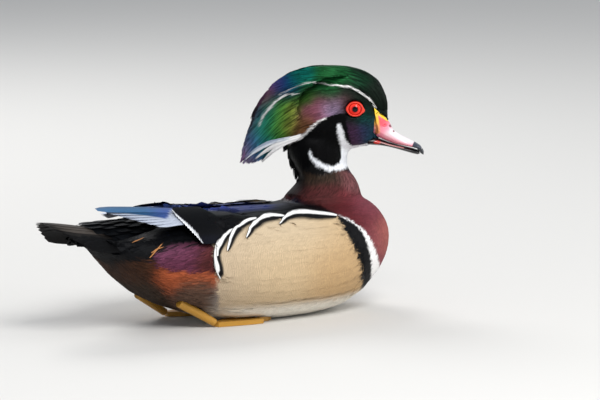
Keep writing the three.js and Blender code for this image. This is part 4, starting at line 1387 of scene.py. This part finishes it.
def barred_feather(arc, lift):
    """Points of one feather between its outer edge and a line inside the flank."""
    line = resampled(arc, ARC_STEPS)
    for _ in range(3):
        line[1:-1] = (line[:-2] + 2 * line[1:-1] + line[2:]) / 4
    way = unit(np.gradient(line, axis=0))
    inward = np.stack((-way[:, 1], way[:, 0]), 1) * -1.0
    points = np.empty((ARC_STEPS, ARC_ROWS, 3))
    for i in range(ARC_STEPS):
        taper = math.sin(math.pi * min(max((i + 0.7) / ARC_STEPS, 0.0), 1.0)) ** 0.4
        for j in range(ARC_ROWS):
            t = (j / (ARC_ROWS - 1)) ** 1.4
            spot = line[i] + inward[i] * ((t * ARC_DEEP - 1.7) * taper)
            place, normal = near_side(*spot)
            cover = SKIN_DEPTH + 0.5 + lift * (1 - t) ** 1.5 * taper
            points[i, j] = place + normal * mix(cover, 0.4, t**2)
    return points


def barred_colour(points, place, along):
    """A black edge, a white bar, a black bar and then the flank's own buff."""
    deep = place * ARC_DEEP
    colour = body_colour(points)
    colour = mix(rgb("0a0a0c"), colour, ramp(6.2, 9.5, deep)[..., None])
    white = ramp(0.35, 0.6, deep) * ramp(3.5, 3.2, deep)
    return mix(colour, rgb("f2f1ef"), white[..., None])


def make_barred(side_name, flip):
    index = np.arange(ARC_STEPS * ARC_ROWS).reshape(ARC_STEPS, ARC_ROWS)
    quads = grid_quads(index.T)
    sheets_points, sheets_quads = [], []
    for i, arc in enumerate(FLANK_ARCS):
        sheets_points.append(barred_feather(arc, 1.5 - 0.15 * i).reshape(-1, 3))
        sheets_quads.append(quads + i * ARC_STEPS * ARC_ROWS)
    points = np.concatenate(sheets_points)
    deep = np.tile((np.arange(ARC_ROWS) / (ARC_ROWS - 1)) ** 1.4, ARC_STEPS * len(FLANK_ARCS))
    quads = np.concatenate(sheets_quads)
    if flip:
        points = points * FLIP
        quads = quads[:, ::-1]
    obj = mesh_object(f"barred_feathers_{side_name}", points, quads, FLANK_COAT)
    set_colours(obj, barred_colour(points, deep, deep))
    sweep = np.tile(np.repeat(np.linspace(0, 1, ARC_STEPS), ARC_ROWS), len(FLANK_ARCS))
    set_uv(obj, "OFBake", bake_spots(points))
    set_uv(obj, "Vane", np.stack((sweep, 1 - deep), -1))
    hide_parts(f"flank_{side_name}")
    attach(obj, BODY)


make_barred("right", False)
make_barred("left", True)

# The tail
TAIL_RIDGE = ((-192, 87), (-170, 84), (-153, 80.5), (-131, 76.5), (-105, 71.5))
TAIL_HALF = ((-193, 20), (-170, 25), (-150, 26), (-131, 23), (-105, 14))
TAIL_ARCH = 11
TAIL_FEATHERS = 14


def tail_point(along, across, lift):
    x = mix(-105, mix(-192, -169, across**2), along)
    y = -across * reading(TAIL_HALF, x)
    return vec(x, y, reading(TAIL_RIDGE, x) - TAIL_ARCH * across**2 + lift)


def tail_specs():
    specs = []
    for i in range(TAIL_FEATHERS):
        side = 2 * i / (TAIL_FEATHERS - 1) - 1
        level = 1.8 * (1 - abs(side))
        root = tail_point(0, side * 0.6, level - 1.2)
        tip = tail_point(1, side, level - 0.4)
        bow = (tail_point(0.5, side * 0.95, level - 0.4) - (root + tip) / 2) * 1.6
        specs.append((root, tip, bow, vec(0, -side * 0.9, 1)))
    return specs


def tail_colour(points, place, along):
    """Brown grey on the middle feathers, a painted sheen where the tail's arch faces up; black on the
    outer ones and at the tips.
    """
    index = np.arange(TAIL_FEATHERS)[:, None, None]
    outer = np.abs(2 * index / (TAIL_FEATHERS - 1) - 1)
    top = mix(rgb("2c2826"), rgb("4c453f"), ramp(0.2, 0.7, along)[..., None])
    top = mix(top, rgb("0a0a0b"), ramp(0.35, 0.6, outer * np.ones(along.shape))[..., None])
    return mix(top, rgb("0c0b0c"), ramp(0.84, 0.95, along)[..., None])


def covert_specs():
    specs = []
    for row in range(5):
        for i in range(9):
            side = 2 * i / 8 - 1 + 0.08 * (row % 2)
            x = -84 - 11 * row
            half = 24 - 1.2 * row
            z = 84 - 15 * side**2
            tip_half = half * 0.85
            specs.append((vec(x, -side * half * 0.9, z - 1.5),
                          vec(x - 27, -side * tip_half, z - 0.8 + 0.1 * row),
                          vec(0, 0, 1.5), vec(0, -side, 1)))
    return specs


tail = vanes("tail_feathers", tail_specs(), 13, WING_COAT, tail_colour)
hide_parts("tail")
coverts = vanes("tail_coverts_over", covert_specs(), 13, WING_COAT,
                dark_colour("08090b", "101215"), columns=5, crown=0.03)
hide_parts("tail_coverts")


# A few tan hairs that lie across the rump
RUMP_STREAKS = [
    [(137, 242.5), (142, 240.6), (148, 238.2)],
    [(153.5, 255.5), (159, 250), (165.5, 243.5)],
    [(155.5, 251.5), (160, 248.8), (167, 246.8)],
]


STREAK_TAN = "b07848"
HAIRS = 4


def make_rump_streaks(side_name, flip):
    spines, acrosses = [], []
    for line in RUMP_STREAKS:
        for _ in range(HAIRS):
            path = resampled(line, 8) + random.normal(0, 0.3, 2)
            hits = [near_side(*spot) for spot in path]
            spine = np.array([place + normal * 1.5 for place, normal in hits]) * flip
            way = unit(np.gradient(spine, axis=0))
            spines.append(spine)
            acrosses.append(unit(np.cross(way, np.array([normal for _, normal in hits]) * flip)))

    def painted(points, place, along):
        return np.broadcast_to(rgb(STREAK_TAN), points.shape)

    sheets(f"rump_streaks_{side_name}", np.array(spines), np.array(acrosses), np.full(len(spines), 0.5),
           SOFT_COAT, painted, "hair", 3, 0.3)


make_rump_streaks("right", 1.0)
make_rump_streaks("left", FLIP)


# The bill
YELLOW_RIM = [
    (370, 102), (378, 104), (384, 111.5), (389.5, 119), (391, 122), (386.5, 120), (381.5, 116.8),
    (378.6, 114.5), (378, 116), (379.2, 121), (380.2, 127), (380.4, 133), (376, 134), (374, 122),
]
NAIL_PATCH = [
    (415.5, 140), (413, 144.5), (412.5, 147), (417, 148.5), (420.5, 152), (426, 158), (430, 140),
]
BILL_STROKES = [
    ("scarlet", [(380, 117), (384, 119), (384, 124)]),
    ("pink", [(388, 127), (383, 130), (381, 134)]),
    ("pearl", [(394, 130), (400, 134), (410, 140)]),
    ("blush", [(388, 134), (395, 137), (405, 141)]),
    ("coral", [(380, 138), (390, 140), (400, 143), (409, 146)]),
]
YELLOW_STROKES = [
    ("yellow", [(376, 110), (378, 113), (384, 115)]),
    ("amber", [(376, 118), (377, 119)]),
    ("apricot", [(379, 128), (379, 133)]),
]


NOSTRIL = ((390.6, 125.5, 1.5), (394, 130.8, 1.0))  # across, down and radius of its two ends, in pixels


def bill_colour(points):
    u, v = head_pixels(points)
    colour = spread(u, v, BILL_STROKES, 3.6)
    yellow = spread(u, v, YELLOW_STROKES, 4)
    share = ramp(-0.5, 0.5, inside(u, v, YELLOW_RIM))[..., None]
    colour = mix(colour, yellow, share)
    holes = [radius - np.hypot(u - across, v - down) for across, down, radius in NOSTRIL]
    # painted shade in the nostril's opening
    colour = over(colour, np.maximum(*holes), "8a3a44")
    return over(colour, inside(u, v, NAIL_PATCH), "2c3242")


def lower_bill_colour(points):
    u, v = head_pixels(points)
    colour = np.broadcast_to(rgb("0c0a0c"), points.shape)
    colour = over(colour, 1.8 - np.hypot((u - 377.5) * 0.5, v - 142), "c02c20")
    return over(colour, 0.5 - line_distance(u, v, [(381, 142), (390, 144.6), (404, 147.6)]), "c8908c")


TUCK = 3.2


def tucked(mesh):
    """Draws the part of the bill behind its rear edge in, under the face's feathers."""
    points = mesh_arrays(mesh)[0]
    out = head_local(points)[2]
    inward = behind_bill_edge(points) * TUCK * np.clip(np.abs(out) / 3, 0, 1) * np.sign(out)
    move_points(mesh, points - OUTWARD * inward[:, None])


def fine_copy(name, names, voxel, passes, material, colour):
    mesh = remeshed(name, [node_copy(name + "_copy", names)], voxel, passes)
    if "bill_upper" in names:
        tucked(mesh)
    mesh.shade_smooth()
    mesh.materials.clear()
    mesh.materials.append(material)
    obj = new_object(name, mesh)
    set_colours(obj, colour(mesh_arrays(mesh)[0]))
    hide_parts(*names)
    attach(obj, BODY)
    return obj


fine_copy("bill_over", ["bill_upper"], 0.45, 3, BILL_SKIN, bill_colour)
fine_copy("bill_under", ["bill_lower"], 0.45, 3, BILL_SKIN, lower_bill_colour)
fine_copy("bill_tip", ["bill_nail"], 0.4, 4, BILL_SKIN,
          lambda points: np.broadcast_to(rgb("1c2028"), points.shape))


BILL_CORNER = np.array((374.3, 107.2))
CORNER_REAR = np.array((377.2, 125.0))
CORNER_FRONT = np.array((386.6, 118.6))


def make_bill_corner(side_name, mirror):
    """The pointed corner where the bill runs up the side of the forehead."""
    rows, columns = 14, 10
    index = np.arange(rows * columns).reshape(rows, columns)
    spots = np.array([
        mix(mix(BILL_CORNER, CORNER_REAR, s), mix(BILL_CORNER, CORNER_FRONT, s), t)
        for s in np.linspace(0, 1, rows) for t in np.linspace(0, 1, columns)
    ])
    starts = sight_start(spots[:, :1], spots[:, 1:])
    depth = []
    for start in starts:
        skin_hit = skin_tree.ray_cast(Vector(start), Vector(-VIEW_BACK))[3]
        bill_hit = bill_tree.ray_cast(Vector(start * MM), Vector(-VIEW_BACK))[3]
        depth.append(min(skin_hit - 1.3 if skin_hit else 1e9, bill_hit / MM - 0.2 if bill_hit else 1e9))
    depth = np.array(depth).reshape(rows, columns)
    for _ in range(4):
        depth[1:-1, 1:-1] = (depth[:-2, 1:-1] + depth[2:, 1:-1] + depth[1:-1, :-2] + depth[1:-1, 2:]) / 4
    depth[:, 0] += 0.5
    depth[:, -1] += 0.5
    depth[-1] += 0.5
    points = starts - VIEW_BACK * depth.reshape(-1, 1)
    quads = grid_quads(index.T)
    if mirror:
        points = points - 2 * head_local(points)[2][:, None] * OUTWARD
        quads = quads[:, ::-1]
    obj = mesh_object(f"bill_corner_{side_name}", points, quads, BILL_SKIN)
    set_colours(obj, bill_colour(points))
    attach(obj, BODY)


make_bill_corner("right", False)
make_bill_corner("left", True)


# Eyes and lids
EYE = painted_material("eye", 0.05, 0.25, colour="b01010")
LID = painted_material("eyelid", 0.5, 0.3)
EYE_COLOURS = {"iris": "d8201c", "bright ring": "f04030", "rim": "8a0c0c", "pupil": "050404"}


def make_eye(side_name, side):
    shape = bmesh.new()
    bmesh.ops.create_uvsphere(shape, u_segments=96, v_segments=64, radius=EYE_RADIUS)
    points = np.array([v.co[:] for v in shape.verts])
    away = np.hypot(points[:, 0], points[:, 1])
    front = points[:, 2] > 0
    iris, bright_ring, rim, pupil = (rgb(code) for code in EYE_COLOURS.values())
    outside_pupil = np.where(front, ramp(2.15, 2.35, away), 0.0)[:, None]
    colour = np.broadcast_to(iris, points.shape)
    colour = mix(colour, bright_ring, ramp(2.6, 3.4, away)[:, None] * ramp(4.6, 3.6, away)[:, None])
    # painted shade: the iris darker toward its edge, where the lid shades it
    colour = mix(colour, rim, ramp(4.3, 5.2, away)[:, None])
    colour = mix(pupil, colour, outside_pupil)
    placed = EYE_MIDDLE + points[:, :1] * FORWARD + points[:, 1:2] * UPWARD
    placed = placed + (points[:, 2:] + EYE_OUT) * OUTWARD * side
    for vert, place in zip(shape.verts, placed):
        vert.co = Vector(place * MM)
    bmesh.ops.recalc_face_normals(shape, faces=shape.faces)
    mesh = bpy.data.meshes.new(f"eyeball_{side_name}")
    shape.to_mesh(mesh)
    shape.free()
    mesh.shade_smooth()
    mesh.materials.append(EYE)
    obj = new_object(f"eyeball_{side_name}", mesh)
    set_colours(obj, colour)
    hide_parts(f"eye_{side_name}")
    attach(obj, BODY)


LID_INNER = 4.75
LID_OUTER = 6.0
LID_OUT = 17.3  # how far the lid stands out from the head's middle


def turned_from(angle, corner):
    """The turn from a corner to an angle, between minus and plus half a turn."""
    return (angle - corner + math.pi) % (2 * math.pi) - math.pi


def make_lid(side_name, side):
    """A raised ring round the eye that runs to a point in front."""
    around, profile = 72, 10
    front_corner, rear_corner = -0.2, math.pi
    points = np.empty((around, profile, 3))
    for i in range(around):
        angle = 2 * math.pi * i / around
        front = math.exp(-((turned_from(angle, front_corner) / 0.28) ** 2))
        rear = math.exp(-((turned_from(angle, rear_corner) / 0.35) ** 2))
        inner = LID_INNER + 0.3 * abs(math.cos(angle))
        outer = LID_OUTER + 0.5 * abs(math.cos(angle)) + 1.2 * front + 0.7 * rear
        for j in range(profile):
            turn = 2 * math.pi * j / profile
            middle, half = (inner + outer) / 2, (outer - inner) / 2
            radius = middle + half * math.cos(turn)
            out = LID_OUT + 0.75 * math.sin(turn) - 0.12 * (radius - 5)
            forward, up = radius * math.cos(angle), radius * math.sin(angle) * 0.96
            points[i, j] = head_point(forward, up, out * side)
    index = np.arange(around * profile).reshape(around, profile)
    quads = grid_quads(np.pad(index, ((0, 1), (0, 1)), "wrap").T)
    if side > 0:
        quads = quads[:, ::-1]
    obj = mesh_object(f"lid_{side_name}", points.reshape(-1, 3), quads, LID)
    set_colours(obj, np.broadcast_to(rgb("e8402e"), (around * profile, 3)))
    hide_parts(f"eyelid_{side_name}")
    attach(obj, BODY)


for side_name, side in (("right", 1), ("left", -1)):
    make_eye(side_name, side)
    make_lid(side_name, side)

# Feet
FOOT = new_material("foot_skin", "b8862c", 0.5)[0]
for node in ("leg_right", "leg_left", "foot_right", "foot_left"):
    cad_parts[node].data.materials.clear()
    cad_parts[node].data.materials.append(FOOT)


# Floor, light and camera
def make_floor():
    material = new_material("floor", "d8d6d2", 0.9)[0]
    size = 3000
    points = np.array(((-size, -size, 0), (size, -size, 0), (size, size, 0), (-size, size, 0)), float)
    points[:, 2] = cad_box[0][2] / MM - 0.2
    floor = mesh_object("floor", points, np.array(((0, 1, 2, 3),)), material, False)


def add_light(name, place, size, power, target=(0, 0, 80)):
    light = bpy.data.lights.new(name, "AREA")
    light.shape = "DISK"
    light.size = size
    light.energy = power
    obj = new_object(name, light)
    obj.location = Vector(place) * MM
    way = Vector(target) * MM - obj.location
    obj.rotation_mode = "QUATERNION"
    obj.rotation_quaternion = way.to_track_quat("-Z", "Y")


make_floor()
add_light("key", (-500, -1500, 1500), 1.0, 34)
add_light("fill", (1500, -1100, 700), 1.4, 12)
add_light("rim", (300, 1400, 1300), 1.0, 16)
world = bpy.data.worlds.new("studio")
world.use_nodes = True
world.node_tree.nodes["Background"].inputs["Color"].default_value = (0.82, 0.86, 0.92, 1)
world.node_tree.nodes["Background"].inputs["Strength"].default_value = 0.55
bpy.context.scene.world = world
bpy.context.scene.view_settings.view_transform = "Standard"

CAMERA_AWAY = 4000.0
SENSOR = 36.0
camera_data = bpy.data.cameras.new("camera")
camera_data.sensor_width = SENSOR
camera_data.lens = SENSOR * CAMERA_AWAY / (IMAGE_SIZE[0] * PIXEL)
camera_data.clip_end = 50.0
camera = new_object("camera", camera_data)
aim = (
    VIEW_RIGHT * (IMAGE_SIZE[0] / 2 - ORIGIN_PIXEL[0]) * PIXEL
    + VIEW_UP * (ORIGIN_PIXEL[1] - IMAGE_SIZE[1] / 2) * PIXEL
)
turned = Matrix((VIEW_RIGHT, VIEW_UP, VIEW_BACK)).transposed().to_4x4()
camera.matrix_world = Matrix.Translation(Vector((aim + VIEW_BACK * CAMERA_AWAY) * MM)) @ turned
bpy.context.scene.camera = camera
